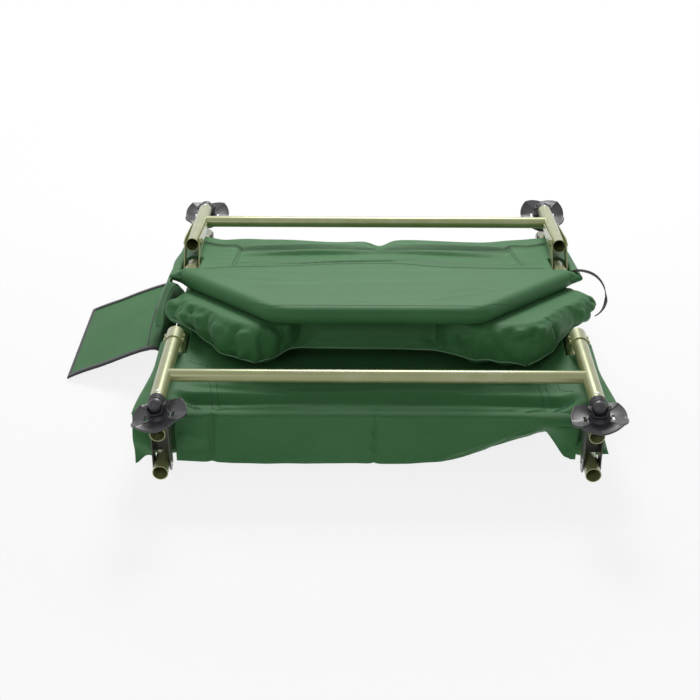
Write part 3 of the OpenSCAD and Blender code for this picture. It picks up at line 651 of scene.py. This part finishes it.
PILLOW_CREASES = [   # start and end in the middle section's frame, width and depth, in mm
    (-362, -80, 150, -352, -95, 100, 9, 9), (-330, -120, 165, -318, -150, 105, 8, 8),
    (-262, -190, 180, -268, -205, 130, 9, 8), (-225, -200, 160, -255, -215, 110, 7, -7),
    (-190, -180, 190, -185, -180, 120, 9, 9), (-390, -20, 140, -330, -60, 165, 8, 7),
    (-300, -150, 185, -240, -190, 150, 9, -7), (-395, -60, 120, -340, -110, 135, 9, -6),
    (300, -190, 200, 290, -205, 140, 9, 10), (330, -150, 190, 345, -160, 120, 8, 9),
    (255, -205, 190, 225, -205, 120, 9, 8), (385, -70, 180, 400, -85, 120, 8, 9),
    (400, 0, 170, 432, 10, 125, 9, 8), (360, -100, 185, 300, -195, 160, 8, -8),
    (410, -40, 150, 345, -150, 150, 7, 6), (150, -180, 180, 150, -180, 120, 12, 7),
    (345, -140, 170, 260, -205, 135, 8, -6), (425, 30, 150, 380, -80, 165, 9, -6),
]


def crumpled(obj):
    """Presses creases into the pillow and rumples it most at its four free corners."""
    coords = np.array([MIDDLE.inverted() @ v.co for v in obj.data.vertices]) / MM
    normals = np.array([v.normal for v in obj.data.vertices])
    depth = np.zeros(len(coords))
    for *ends, width, height in PILLOW_CREASES:
        a, b = np.array(ends, float).reshape(2, 3)
        d = b - a
        t = (coords - a) @ d / (d @ d)
        off = np.linalg.norm(coords - a - np.clip(t, 0, 1)[:, None] * d, axis=1)
        depth += 1.5 * height * np.exp(-np.abs(off / width) ** 1.5)
    corner = np.zeros(len(coords))
    for x, y, reach in PILLOW_LOBES:
        p = np.array(on_far(x, y, PAD_FACE))
        corner = np.maximum(corner, np.exp(-(np.linalg.norm(coords[:, :2] - p[:2], axis=1)
                                             / (reach * 1.6)) ** 2))
    ridged, fine = (np.array([abs(noise.noise(Vector((c[0], c[1], c[2] * 0.5)) / size))
                              for c in coords]) for size in (52, 24))
    depth += corner * (8 - 30 * ridged - 5 * fine) - 1 * fine
    top = np.array([on_far(c[0], 400 - c[1], 0).z for c in coords]) - 20
    shut = smooth_step(top - coords[:, 2], 0, 12)
    moved = coords - normals * (depth * shut)[:, None]
    for v, c in zip(obj.data.vertices, moved):
        v.co = at(MIDDLE, c)
    obj.data.update()


def remeshed(obj, voxel):
    m = obj.modifiers.new("even_mesh", "REMESH")
    m.mode, m.voxel_size = "VOXEL", voxel * MM
    applied(obj)
    for p in obj.data.polygons:
        p.use_smooth = True
    return obj


def swell(obj, pressure, cap):
    """Fills the cloth by simulation; no point moves further than cap, in mm."""
    start = np.array([v.co for v in obj.data.vertices])
    m = obj.modifiers.new("fill", "CLOTH")
    m.settings.use_pressure = True
    m.settings.uniform_pressure_force = pressure
    m.settings.tension_stiffness = 8
    m.settings.bending_stiffness = 0.6
    m.settings.effector_weights.gravity = 0
    for f in range(1, 21):
        scene.frame_set(f)
    applied(obj)
    scene.frame_set(1)
    move = np.array([v.co for v in obj.data.vertices]) - start
    length = np.linalg.norm(move, axis=1, keepdims=True)
    now = start + move * np.minimum(1, cap * MM / np.maximum(length, 1e-9))
    obj.data.vertices.foreach_set("co", now.ravel())
    obj.data.update()


pillow_cover = remeshed(pillow(), 5)
swell(pillow_cover, 4, 9)
crumpled(pillow_cover)


def tube_along(name, points, radius, finish):
    """A thin round piping through points of the frame."""
    rings = []
    for i, p in enumerate(points):
        d = (points[min(i + 1, len(points) - 1)] - points[max(i - 1, 0)]).normalized()
        side = d.cross(Vector((0, 0, 1))).normalized()
        up = side.cross(d)
        rings.append([(p + (side * math.cos(a) + up * math.sin(a)) * radius * MM) / MM
                      for a in np.linspace(0, 2 * math.pi, 8, endpoint=False)])
    return lofted(name, rings, Matrix.Identity(4), finish)


def pillow_seam():
    """Points along the pillow's lower front seam, on its cloth."""
    tree = surface_of(pillow_cover)
    plan = [np.array(p, float) for p in PILLOW_PLAN[3:-4]]
    points = []
    for a, b in zip(plan, plan[1:]):
        steps = max(1, int(np.hypot(*(b - a)) / 8))
        for i in range(steps):
            low = on_far(*(a + (b - a) * i / steps), PAD_FACE)
            points.append(tree.find_nearest(at(MIDDLE, (low.x, low.y, PILLOW_FLOOR + 2)))[0])
    return [points[0]] + [(points[i - 1] + points[i] * 2 + points[i + 1]) / 4
                          for i in range(1, len(points) - 1)] + [points[-1]]


# Piping along the lower seam; its pale tone is a painted highlight.
pillow_hem = tube_along("pillow_hem", pillow_seam(), 1.5, PIPING_PAINTED_HIGHLIGHT)
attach(pillow_hem, "far_section")
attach(pillow_cover, "far_section")
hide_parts("pillow")

# --- Far section's hanging side -------------------------------------------------------------

WING_TOP = [(322, 92), (300, 98), (250, 107), (200, 117), (150, 126), (100, 136), (40, 147),
            (4, 153)]
WING_FOOT = [(300, 30), (250, 28), (200, 30), (150, 34), (100, 38), (40, 42), (4, 60)]


def side_wing():
    """Cloth that hangs from the far section's left sleeve to the side flap."""
    y = np.linspace(322, 4, 60)
    tops, feet = (np.interp(-y, [-p[0] for p in line], [p[1] for p in line])
                  for line in (WING_TOP, WING_FOOT))
    share = np.linspace(0, 1, 26)
    yy, tt = np.meshgrid(y, share)
    z = tops + (feet - tops) * tt
    x = (-413 - 33 * np.sin(tt * np.pi / 2) ** 0.8 + 5 * np.sin(yy / 21 + tt * 2) * tt
         + rumple(yy, z, 30, 11) * 4 * tt + 16 * np.clip((34 - yy) / 30, 0, 1))
    return cloth_sheet("far_side_wing", x, yy, z, MIDDLE, 1.4)


far_wing = side_wing()
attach(far_wing, "far_section")
tuple(at(FAR, (-413, 200, 4)))
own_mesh(far_wing)

# --- Cloth bands across the folds -----------------------------------------------------------


BAND_FOOT = [(-361, -22), (-296, -26), (-4, -26), (60, -26), (134, -20), (210, -4), (277, 11),
             (290, 20), (306, 28), (318, 12), (340, -14), (352, -22)]
TUCK = [(100, -30), (134, -6), (200, 22), (260, 50), (292, 62), (352, 64)]


def band_out(x, z, tucked):
    """How far the band's cloth stands out in front of the covers' ends."""
    out = 2.5 + 2.5 * np.exp(-((z - 30) / 40) ** 2) + rumple(x, z, 50, 8) * 2
    out += folds(x, z, [(-6, -60, 2, 120, 5, -6, 1.2), (-298, -60, -294, 130, 7, -8, 1.3),
                        (-352, -4, -290, 2, 9, -5, 1.6), (-20, 52, -3, 24, 3, 3, 1.3),
                        (-3, 40, 16, 18, 3, 3, 1.3), (-18, 12, 0, -14, 3, 3, 1.3),
                        (-352, 40, -296, 22, 9, 5, 1.6), (-270, -24, -60, -12, 12, 3, 2)])
    if tucked:
        ridge = along(TUCK, x)
        side = smooth_step(x, 110, 240)
        out += 9 * side * np.exp(-np.abs((z - ridge) / 10) ** 1.5)
        out -= 8 * side * np.exp(-np.abs((z - ridge + 9) / 4) ** 1.3)
        below = np.clip(ridge - z, 0, None)
        tip = smooth_step(x, 306, 340)
        drape = 0.85 * below * side + 0.3 * below * smooth_step(x, 60, 134) * (1 - side)
        out -= drape * (1 - tip)
        out -= 10 * side * tip * np.clip(below / 60, 0, 1)
        out += folds(x, z, [(200, -10, 296, 60, 5, -5, 1.3), (306, 24, 345, -20, 6, 5, 1.4),
                            (250, 20, 300, 40, 5, 5, 1.4)])
    return out


BAND_TOP = 71
BAND_HALF = 361             # half the band's width
BAND_Y = -PIN_Y + 43.2 - 2  # where its cloth starts to stand out
COVER_END = 0.357           # from the middle of the cot to the covers' ends, in m


def fold_cloth(name, place, top_half, tucked):
    """Half of the band that hangs across a fold, above or below the hinges' middle line. Its own
    frame is the middle section's, with the fold towards -Y."""
    joint = PIN_RISE / 2
    u = np.linspace(-BAND_HALF, BAND_HALF, 236)
    if top_half:
        share = np.concatenate([[0, 0.008], np.linspace(0.03, 1, 22)])
        low, high = joint + 0 * u, BAND_TOP + 0 * u
    else:
        share = np.concatenate([np.linspace(0, 0.97, 24), [0.992, 1]])
        low, high = along(BAND_FOOT, u) if tucked else -24 + 0 * u, joint + 0 * u
    x = np.repeat(u[None, :], len(share), 0)
    z = low + (high - low) * share[:, None]
    out = band_out(x, z, tucked)
    if top_half:   # its upper edge turns back over the near end of the cover
        roll = np.array([0.9, 2.2, 2.8, 2.6, 1.2])[:, None]
        back = np.array([0.5, 3, 7, 12, 17])[:, None]
        edge = out[-1]
        z = np.concatenate([z, high + roll])
        out = np.concatenate([out, edge * np.array([[0.95], [0.6], [0.3], [0.1], [0]]) - back])
        x = np.concatenate([x, np.repeat(u[None, :], 5, 0)])
    return cloth_sheet(name, x, BAND_Y - out, z, place, 1.4)


for end, place in (("near", MIDDLE), ("far", MIDDLE @ FLIP_Y)):
    sign = -1 if end == "near" else 1
    lower = fold_cloth(f"{end}_band_lower", place, False, end == "near")
    upper = fold_cloth(f"{end}_band_upper", place, True, end == "near")
    y = middle.y + sign * COVER_END
    levels = [(middle.x, y, middle.z + z * MM) for z in (2, PIN_RISE / 2, PIN_RISE - 2)]
    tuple(levels[0])
    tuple(levels[1])
    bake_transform(lower)
    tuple(levels[1])
    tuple(levels[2])
    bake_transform(upper)
    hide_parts(f"{end}_fold_band")


HEM_TOP = BAND_TOP + 4


def corner_cloth():
    """The near cover's side hem, which hangs down beside the left hinge of the closed fold."""
    u, z = np.meshgrid(np.linspace(-436, -398.5, 16), np.linspace(HEM_TOP, -20, 30))
    z = z - (HEM_TOP - z) / 95 * 8 * np.sin(u / 9)
    y = BAND_Y - band_out(u, z, False) - 3 * np.sin(z / 14) - 3 * np.sin((u + z) / 11)
    return cloth_sheet("near_corner_cloth", u, y, z, MIDDLE, 1.4)


near_corner = corner_cloth()
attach(near_corner, "near_section")
tuple(at(MIDDLE, (-417, -PIN_Y + 40, HEM_TOP)))
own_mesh(near_corner)

# --- Side flap ------------------------------------------------------------------------------

FLAP_X, FLAP_SLOPE, FLAP_W, FLAP_L = 422.6, 13.16, 214, 310
FLAP = MIDDLE @ shift(-FLAP_X, 0, -SLACK_DROP) @ turn("Y", -FLAP_SLOPE)
FLAP_RISE = [(0, 1.5), (19, 5.6), (42, 9.4), (74, 13.5), (117, 21), (144, 25), (166, 27.5),
             (188, 28), (200, 25), (208, 16), (214, 0)]


def flap_bow(u, v):
    """How far the flap's cloth stands off its flat: it rises in a soft roll beside its seam."""
    out, rise = zip(*FLAP_RISE)
    return np.interp(u + FLAP_W, out, rise) + rumple(u, v, 80, 9) * 1.5 * np.sin(
        np.pi * np.clip(-u / FLAP_W, 0, 1))


u, v = np.meshgrid(-FLAP_W + 3 + (FLAP_W - 3) * np.linspace(0, 1, 72) ** 0.75,
                   np.linspace(-1, FLAP_L - 8, 60))
flap_cloth = cloth_sheet("flap_cloth", u, v, flap_bow(u, v), FLAP, 1.6)


def tape_along(name, line, width, wrap, place, finish):
    """Binding folded over an edge: line is the edge's points, wrap is half its thickness."""
    profile = [(-width, -wrap), (-width * 0.5, -wrap), (-1, -wrap), (0, -wrap * 0.6), (0.6, 0),
               (0, wrap * 0.6), (-1, wrap), (-width * 0.5, wrap), (-width, wrap)]
    pts = [np.array(p, float) for p in line]
    rings = []
    for i, p in enumerate(pts):
        a = pts[i] - pts[i - 1] if i else pts[1] - pts[0]
        b = pts[i + 1] - pts[i] if i < len(pts) - 1 else a
        a, b = a / np.linalg.norm(a), b / np.linalg.norm(b)
        d = (a + b) / np.linalg.norm(a + b)
        out = np.array([d[1], -d[0], 0]) / max(0.5, math.sqrt((1 + a @ b) / 2))
        rings.append([p + out * s + np.array([0, 0, h]) for s, h in profile])
    return lofted(name, rings, place, finish)


def flap_edge():
    corners = [(0, -4.5), (-FLAP_W + 1, -4.5), (-FLAP_W + 1, FLAP_L - 5), (0, FLAP_L - 5)]
    steps = 24
    line = []
    for a, b in zip(corners, corners[1:]):
        a, b = np.array(a, float), np.array(b, float)
        line += [a + (b - a) * i / steps for i in range(1 if line else 0, steps + 1)]
    return [(*p, float(flap_bow(*p))) for p in line]


flap_tape = tape_along("flap_tape", flap_edge()[::-1], 12, 2.4, FLAP, BINDING_TAPE)
FLAP_SEAM = [(-34 - 7 * math.sin(math.pi * t), -3 + (FLAP_L - 4) * t)
             for t in np.linspace(0, 1, 40)]
flap_seam = tube_along("flap_seam", [at(FLAP, (u, v, float(flap_bow(u, v)) + 1.2))
                                     for u, v in FLAP_SEAM], 1.3, BINDING_TAPE)
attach(flap_seam, "side_flap")
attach(flap_cloth, "side_flap")
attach(flap_tape, "side_flap")
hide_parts("side_flap")
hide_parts("flap_binding")

# --- Tie strap ------------------------------------------------------------------------------

# Middle line of the webbing in the far section's frame, and how far it is turned on its edge
STRAP_ROUTE = [((403, 306, 6), 0.95), ((409, 313, 11), 0.95), ((417, 320, 13), 0.9),
               ((428, 326, 12.5), 0.85), ((440, 336, 10), 0.85), ((450, 350, 4), 0.85),
               ((457, 366, -6), 0.85), ((460, 380, -18), 0.85), ((459, 391, -31), 0.85),
               ((454, 397, -44), 0.8), ((446, 399, -54), 0.75), ((437, 398, -60), 0.7)]
STRAP_EDGE = np.array(FAR.to_3x3().inverted() @ Vector((0, 0.8, -0.6)))


def strap():
    """Webbing that comes out on its edge beside the leg bracket and falls in a loop."""
    verts = []
    points = [np.array(p, float) for p, _ in STRAP_ROUTE]
    for i, (p, (_, turned)) in enumerate(zip(points, STRAP_ROUTE)):
        ahead = points[min(i + 1, len(points) - 1)] - points[max(i - 1, 0)]
        ahead /= np.linalg.norm(ahead)
        flat = np.cross(ahead, (0, 0, 1))
        edge = STRAP_EDGE - ahead * STRAP_EDGE.dot(ahead)
        flat, edge = flat / np.linalg.norm(flat), edge / np.linalg.norm(edge)
        across = (1 - turned) * flat + turned * edge * (1 if edge.dot(flat) >= 0 else -1)
        across /= np.linalg.norm(across)
        verts += [p + across * w for w in np.linspace(-10, 10, 6)]
    obj = mesh_object("tie_strap_webbing", verts, grid_faces(len(points), 6), FAR, WEBBING)
    m = obj.modifiers.new("smooth", "SUBSURF")
    m.levels = m.render_levels = 2
    return applied(thicken(obj, 1.6))


strap_webbing = strap()
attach(strap_webbing, "far_section")
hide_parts("tie_strap")

# --- Feet -----------------------------------------------------------------------------------

BALL_R, FOOT_R, WALL = 14, 52, 3
SOLE_DROP = 27            # from the ball's centre to the sole
PLEAT = 11                # height of the pleats at the rim
CHEEK_OUT = BALL_R + 5.8  # outside of the hub's cheeks
SLOT_X, SLOT_Y = 2.5, 8   # half the size of the slots beside the hub


def foot_disc():
    """Pleated disc with four ridges: rows of points from the hub to the rim, then back."""
    around = np.radians(np.arange(0, 360, 2.5))
    pleat = np.abs(np.degrees(around) * 4 / 180 % 2 - 1)
    rim = FOOT_R - 4 * pleat ** 2
    rings = []
    for share, top in ([(t, True) for t in np.linspace(0, 0.97, 13)]
                       + [(0.99, True), (1, None), (0.99, False)]
                       + [(t, False) for t in np.linspace(0.97, 0, 13)]):
        r = CHEEK_OUT - 3 + (rim - CHEEK_OUT + 3) * share
        t = np.clip((r - CHEEK_OUT) / (FOOT_R - CHEEK_OUT), 0, 1)
        h = 3 * (1 - t) + PLEAT * t * (1 - pleat) - SOLE_DROP
        fold_line = 0.9 * np.exp(-(pleat / 0.035) ** 2) + 0.9 * np.exp(-((1 - pleat) / 0.035) ** 2)
        bead = WALL + fold_line + 0.8 * math.exp(-((share - 0.975) / 0.02) ** 2)
        lift = bead if top else 0 if top is False else bead / 2
        rings.append(np.stack([r * np.cos(around), r * np.sin(around), h + lift], -1))
    return np.concatenate(rings), grid_faces(len(rings), len(around), wrap=True)


def foot(name, place):
    verts, faces = foot_disc()
    disc = mesh_object(name, verts, faces, place, BLACK_NYLON)
    for side in (-1, 1):
        x = side * (CHEEK_OUT + 4.5)
        cut(disc, block((x - SLOT_X, -SLOT_Y, -SOLE_DROP - 2),
                        (x + SLOT_X, SLOT_Y, -SOLE_DROP + 14), place))
    return disc


def hub(name, place, leg_side):
    """Cup under the ball that rises in a cheek each side of it; leg_side is the Y side, 1 or -1,
    where it stays low for the leg."""
    around = np.linspace(0, 2 * math.pi, 96, endpoint=False)
    cheek = smooth_step(np.abs(np.cos(around)), 0.55, 0.84)
    lip = -16 + 8 * smooth_step(-leg_side * np.sin(around), 0, 0.5)
    top = lip + (3 - lip) * cheek
    seat = BALL_R + 0.6
    level = 0 * around
    rings = [(0.01, -SOLE_DROP + level), (CHEEK_OUT, -SOLE_DROP + level),
             (CHEEK_OUT + 1.2, -SOLE_DROP + 4 + level),
             (CHEEK_OUT - 0.6, -SOLE_DROP + 7.5 + level),
             (CHEEK_OUT - 1.8, np.minimum(-14, top - 1)), (CHEEK_OUT - 2.2, top - 1.2),
             (CHEEK_OUT - 1.3, top - 0.8), (CHEEK_OUT - 1.4, top + 0.1),
             (CHEEK_OUT - 2.4, top + 0.4)]
    for share in (0, 0.2, 0.5, 0.8):
        h = np.minimum(top + 0.2, -3) * (1 - share) - seat * share
        rings.append((np.sqrt(np.clip(seat ** 2 - np.minimum(h, 0) ** 2, 1, None)), h))
    rings.append((0.01, -seat + level))
    verts = [(q * math.cos(a), q * math.sin(a), z) for r, h in rings
             for a, z, q in zip(around, h, r + level)]
    return mesh_object(name, verts, grid_faces(len(rings), len(around), wrap=True), place,
                       BLACK_NYLON, weld=0.03)


FEET = [("near_foot_left", NEAR_LEGS, -1, -12, 91, "near_left_foot"),
        ("near_foot_right", NEAR_LEGS, 1, -5, 91, "near_right_foot"),
        ("far_foot_left", FAR_LEGS, -1, 0, 72, "far_left_foot"),
        ("far_foot_right", FAR_LEGS, 1, 0, 62, "far_right_foot"),
        ("middle_foot_left", MIDDLE_LEGS, -1, 0, -90 - MIDDLE_LEG_SLOPE, "middle_left_foot"),
        ("middle_foot_right", MIDDLE_LEGS, 1, 0, -90 - MIDDLE_LEG_SLOPE, "middle_right_foot")]
for node, legs, side, roll, swivel, body in FEET:
    place = at_ball(legs, side, roll, swivel)
    disc, cup = foot(f"{node}_disc", place), hub(f"{node}_hub", place, 1 if swivel > 0 else -1)
    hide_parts(node)
    for piece in (disc, cup):
        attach(piece, body)

# Ribbed collar between each leg tube and its ball
COLLAR = [   # radius and distance from the ball's centre
    (13.6, 5), (14.6, 6), (14.8, 8), (13.4, 9), (13.4, 10), (15.2, 11), (15.4, 13.5),
    (13.8, 14.5), (13.8, 15.5), (15.2, 16.2), (15.2, 18.6), (14.1, 19.4), (14.05, 21)]
collar_points = [(r * math.cos(a), r * math.sin(a), h) for r, h in COLLAR
                 for a in np.linspace(0, 2 * math.pi, 48, endpoint=False)]
for legs, body, rolls in ((NEAR_LEGS, "near_leg", (-12, -5)), (FAR_LEGS, "far_leg", (0, 0)),
                          (MIDDLE_LEGS, "middle_leg", (0, 0))):
    for side, roll in zip((-1, 1), rolls):
        collar = mesh_object(f"{body}_collar_{'left' if side < 0 else 'right'}", collar_points,
                             grid_faces(len(COLLAR), 48, wrap=True), at_ball(legs, side, roll),
                             BLACK_NYLON)
        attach(collar, body)

# --- Stitches and rivet heads ---------------------------------------------------------------


def node_tree_for(name, sizes):
    """An empty geometry tree with named inputs for its sizes and its material."""
    tree = bpy.data.node_groups.new(name, "GeometryNodeTree")
    face = tree.interface
    face.new_socket("Geometry", in_out="INPUT", socket_type="NodeSocketGeometry")
    for size in sizes:
        face.new_socket(size, in_out="INPUT", socket_type="NodeSocketFloat")
    face.new_socket("Material", in_out="INPUT", socket_type="NodeSocketMaterial")
    face.new_socket("Geometry", in_out="OUTPUT", socket_type="NodeSocketGeometry")
    return tree, add(tree, "NodeGroupInput").outputs


def finish_tree(tree, given, points, mould, turned, size):
    """Puts the mould on each point, sized by these inputs, with the given material."""
    scale = add(tree, "ShaderNodeCombineXYZ", dict(zip("XYZ", (given[s] for s in size))))
    pieces = add(tree, "GeometryNodeInstanceOnPoints", {
        "Points": points, "Instance": mould.outputs["Mesh"], "Rotation": turned,
        "Scale": scale.outputs[0]}).outputs[0]
    solid = add(tree, "GeometryNodeRealizeInstances", {"Geometry": pieces}).outputs[0]
    dressed = add(tree, "GeometryNodeSetMaterial", {"Geometry": solid,
                                                    "Material": given["Material"]})
    add(tree, "NodeGroupOutput", {"Geometry": dressed.outputs[0]})
    return tree


def stitch_tree():
    """Thread humps a pitch apart along the mesh's edges."""
    tree, given = node_tree_for("stitches", ("Pitch", "Length", "Width"))
    path = add(tree, "GeometryNodeMeshToCurve", {"Mesh": given["Geometry"]}).outputs[0]
    spots = add(tree, "GeometryNodeCurveToPoints", {"Curve": path, "Length": given["Pitch"]},
                mode="LENGTH").outputs
    hump = add(tree, "GeometryNodeMeshUVSphere", {"Segments": 6, "Rings": 4, "Radius": 0.5})
    return finish_tree(tree, given, spots["Points"], hump, spots["Rotation"],
                       ("Width", "Width", "Length"))


def head_tree():
    """Domed heads on the mesh's points, each turned to its point's facing."""
    tree, given = node_tree_for("domed_heads", ("Radius", "Height"))
    facing = add(tree, "GeometryNodeInputNamedAttribute", {"Name": "facing"},
                 data_type="FLOAT_VECTOR").outputs["Attribute"]
    turned = add(tree, "FunctionNodeAlignRotationToVector", {"Vector": facing}, axis="Z")
    dome = add(tree, "GeometryNodeMeshUVSphere", {"Segments": 20, "Rings": 10, "Radius": 1.0})
    points = add(tree, "GeometryNodeMeshToPoints", {"Mesh": given["Geometry"]}).outputs[0]
    return finish_tree(tree, given, points, dome, turned.outputs[0],
                       ("Radius", "Radius", "Height"))


def grown(obj, tree, **inputs):
    """The plain mesh that a geometry tree makes from obj."""
    m = obj.modifiers.new(tree.name, "NODES")
    m.node_group = tree
    for item in tree.interface.items_tree:
        if item.in_out == "INPUT" and item.name in inputs:
            m[item.identifier] = inputs[item.name]
    applied(obj)
    for f in obj.data.polygons:
        f.use_smooth = True
    return obj


def laid_on(cover, place, line, lift=0.3):
    """Points of a line over a cover's leg side, just proud of its cloth."""
    tree = surface_of(cover)
    down = (place.to_3x3() @ Vector((0, 0, -1))).normalized()
    points = []
    for a, b in zip(line, line[1:]):
        steps = max(1, int(math.dist(a, b) / 5))
        for i in range(steps + (b is line[-1])):
            x, y = (a[k] + (b[k] - a[k]) * i / steps for k in (0, 1))
            hit = tree.ray_cast(at(place, (x, y, 90)), down)[0]
            if hit:
                points.append(hit - down * lift * MM)
    return points


def wire(name, runs):
    """A mesh of bare edges through each run of points."""
    verts = [p for run in runs for p in run]
    edges, start = [], 0
    for run in runs:
        edges += [(start + i, start + i + 1) for i in range(len(run) - 1)]
        start += len(run)
    mesh = bpy.data.meshes.new(name)
    mesh.from_pydata(verts, edges, [])
    obj = bpy.data.objects.new(name, mesh)
    scene.collection.objects.link(obj)
    return obj


# Lines of stitches on the leg sides of the covers, and the overlocked edges of two slits
NEAR_SEAMS = [[(-318, 196), (-303, 118), (-292, 50)], [(-306, 196), (-291, 118), (-280, 50)],
              [(-352, 205), (-318, 196)], [(296, 190), (297, 120), (303, 50)],
              [(308, 190), (309, 120), (315, 74)], [(308, 190), (330, 150), (335, 112), (355, 100)]]
FAR_SEAMS = [[(-352, 88), (-293, 99), (-295, 191), (-297, 300)],
             [(-288, 99), (-290, 191), (-291, 296)],
             [(352, 92), (290, 103), (296, 180), (306, 298)], [(285, 103), (291, 180), (300, 296)],
             [(x, along(POCKET_EDGE, x) + 12) for x in range(-340, 341, 20)],
             [(-364, 420), (-350, 453), (-196, 599), (194, 599), (350, 453), (364, 420)]]
SLITS = [[(-340, 67), (-322, 60), (-304, 47)], [(-341, 72), (-320, 64), (-304, 47)],
         [(312, 54), (334, 66), (354, 72)], [(312, 54), (332, 71), (354, 79)]]
STITCHES = stitch_tree()
for name, cover, place, seams, body, (pitch, length, width), finish in (
        ("near_stitching", near_cover, NEAR, NEAR_SEAMS, "near_section", (4.6, 3.6, 1.3),
         SEAM_THREAD),
        ("far_stitching", far_cover, FAR, FAR_SEAMS, "far_section", (4.6, 3.6, 1.3), SEAM_THREAD),
        ("near_slit_edges", near_cover, NEAR, SLITS, "near_section", (3, 2.7, 1.8), EDGE_THREAD)):
    thread = grown(wire(name, [laid_on(cover, place, seam) for seam in seams]), STITCHES,
                   Pitch=pitch * MM, Length=length * MM, Width=width * MM, Material=finish)
    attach(thread, body)

# Rivets of the leg brackets, and the screw in the top of each leg that holds its foot plug
HEADS = head_tree()
PLATE_FACE = 17.4      # outside of a bracket's plate from its leg's centre line
SCREW_PLACE = LEG_END + LEG_TO_BALL - 29
for row, legs in (("near", NEAR_LEGS), ("far", FAR_LEGS), ("middle", MIDDLE_LEGS)):
    for part, spots, radius, height, finish in (
            ("rivet_heads", [((side * RAIL_X + out * PLATE_FACE, -LEG_END - u, LEG_OFFSET),
                              (out, 0, 0)) for side in (-1, 1) for out in (-1, 1)
                             for u in (12, 30)], 5, 2.2, OLIVE_STEEL),
            ("plug_screws", [((side * RAIL_X, -SCREW_PLACE, LEG_OFFSET + TUBE_R - 0.2), (0, 0, 1))
                             for side in (-1, 1)], 4, 1.9, ZINC_STEEL)):
        obj = wire(f"{row}_{part}", [[at(legs, p)] for p, _ in spots])
        facing = obj.data.attributes.new("facing", "FLOAT_VECTOR", "POINT")
        facing.data.foreach_set("vector", [c for _, f in spots
                                           for c in (legs.to_3x3() @ Vector(f)).normalized()])
        heads = grown(obj, HEADS, Radius=radius * MM, Height=height * MM, Material=finish)
        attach(heads, f"{row}_leg")
        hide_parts(f"{row}_leg_rivets")

# --- Finishes of the frame's own nodes ------------------------------------------------------

for name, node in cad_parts.items():
    if "pins" in name or "rivets" in name:
        finish = ZINC_STEEL
    elif "hinge" in name:
        finish = DARK_STEEL
    elif "plug" in name or "foot" in name:
        finish = BLACK_NYLON
    elif name in ("tie_strap", "flap_binding"):
        finish = WEBBING
    elif "deck" in name or "band" in name or name in ("pillow", "side_flap"):
        finish = GREEN_CLOTH
    else:
        finish = OLIVE_STEEL
    for slot in node.material_slots:
        slot.material = finish

# --- Camera, floor and light ----------------------------------------------------------------

camera = bpy.data.objects.new("camera", bpy.data.cameras.new("camera"))
scene.collection.objects.link(camera)
camera.data.lens = 72
camera.data.sensor_width = 36
camera.location = middle + Vector((-0.025, -2.494, 1.360))
LOOKS_DOWN, LOOKS_LEFT = 28.4, 0.6   # degrees
camera.rotation_euler = (math.radians(90 - LOOKS_DOWN), 0, math.radians(LOOKS_LEFT))
scene.camera = camera


def pale_floor(t, shader, place):
    """Matt white floor. Seen directly it is a thin white veil that fades out away from the cot: it
    keeps the cot's shadow, and what hangs below the floor's level still shows."""
    bumped(t, shader, grain(t, place, 260.0, 3.0), 0.1, 0.1)
    away = add(t, "ShaderNodeVectorMath", {0: place}, operation="LENGTH").outputs["Value"]
    veil = add(t, "ShaderNodeMapRange", {"Value": away, "From Min": 0.8, "From Max": 2.0,
                                         "To Min": FLOOR_VEIL, "To Max": 0.0}).outputs["Result"]
    solid = add(t, "ShaderNodeMix", {"Factor": seen_directly(t), "A": 1.0, "B": veil})
    t.links.new(solid.outputs[0], shader.inputs["Alpha"])


def seen_directly(t):
    """1 for rays from the camera and for what shows in metal or through glass, otherwise 0."""
    rays = add(t, "ShaderNodeLightPath").outputs
    either = maths(t, "MAXIMUM", rays["Is Camera Ray"], rays["Is Glossy Ray"])
    return maths(t, "MAXIMUM", either, rays["Is Transmission Ray"])


FLOOR_VEIL = 0.18   # how much of the floor's own shade is seen
SKY_LIGHT = 0.2     # strength of the light that comes from all sides
FLOOR_REACH = 9000
floor_paint, *floor_nodes = finish_of("matt_white_paint", 0.9, Base_Color=srgb("#fbfbfa"),
                                      Emission_Color=(1, 1, 1, 1), Emission_Strength=0.12)
pale_floor(*floor_nodes)
floor = mesh_object("floor", [(x * FLOOR_REACH, y * FLOOR_REACH, 0) for x, y in
                              ((-1, -1), (1, -1), (1, 1), (-1, 1))], [(0, 1, 2, 3)],
                    Matrix.Identity(4), floor_paint)

world = bpy.data.worlds.new("studio")
scene.world = world
world.use_nodes = True
tree = world.node_tree
tree.nodes.clear()
level = add(tree, "ShaderNodeMix", {"Factor": seen_directly(tree), "A": SKY_LIGHT, "B": 1.0})
sky = add(tree, "ShaderNodeBackground", {"Color": (1, 1, 1, 1), "Strength": level.outputs[0]})
tree.links.new(sky.outputs["Background"], add(tree, "ShaderNodeOutputWorld").inputs["Surface"])


LIT = Vector((0, 0, 0.1))   # what the lamps are aimed at


def soft_box(name, place, size, watts):
    lamp = bpy.data.objects.new(name, bpy.data.lights.new(name, "AREA"))
    scene.collection.objects.link(lamp)
    lamp.data.shape, lamp.data.size, lamp.data.energy = "SQUARE", size, watts
    lamp.location = place
    lamp.rotation_euler = (LIT - Vector(place)).to_track_quat("-Z", "Y").to_euler()


soft_box("overhead", (0.15, 1.95, 2.2), 1.1, 57)
soft_box("front", (-1.2, -2.6, 1.6), 1.6, 9)

scene.view_settings.view_transform = "Standard"
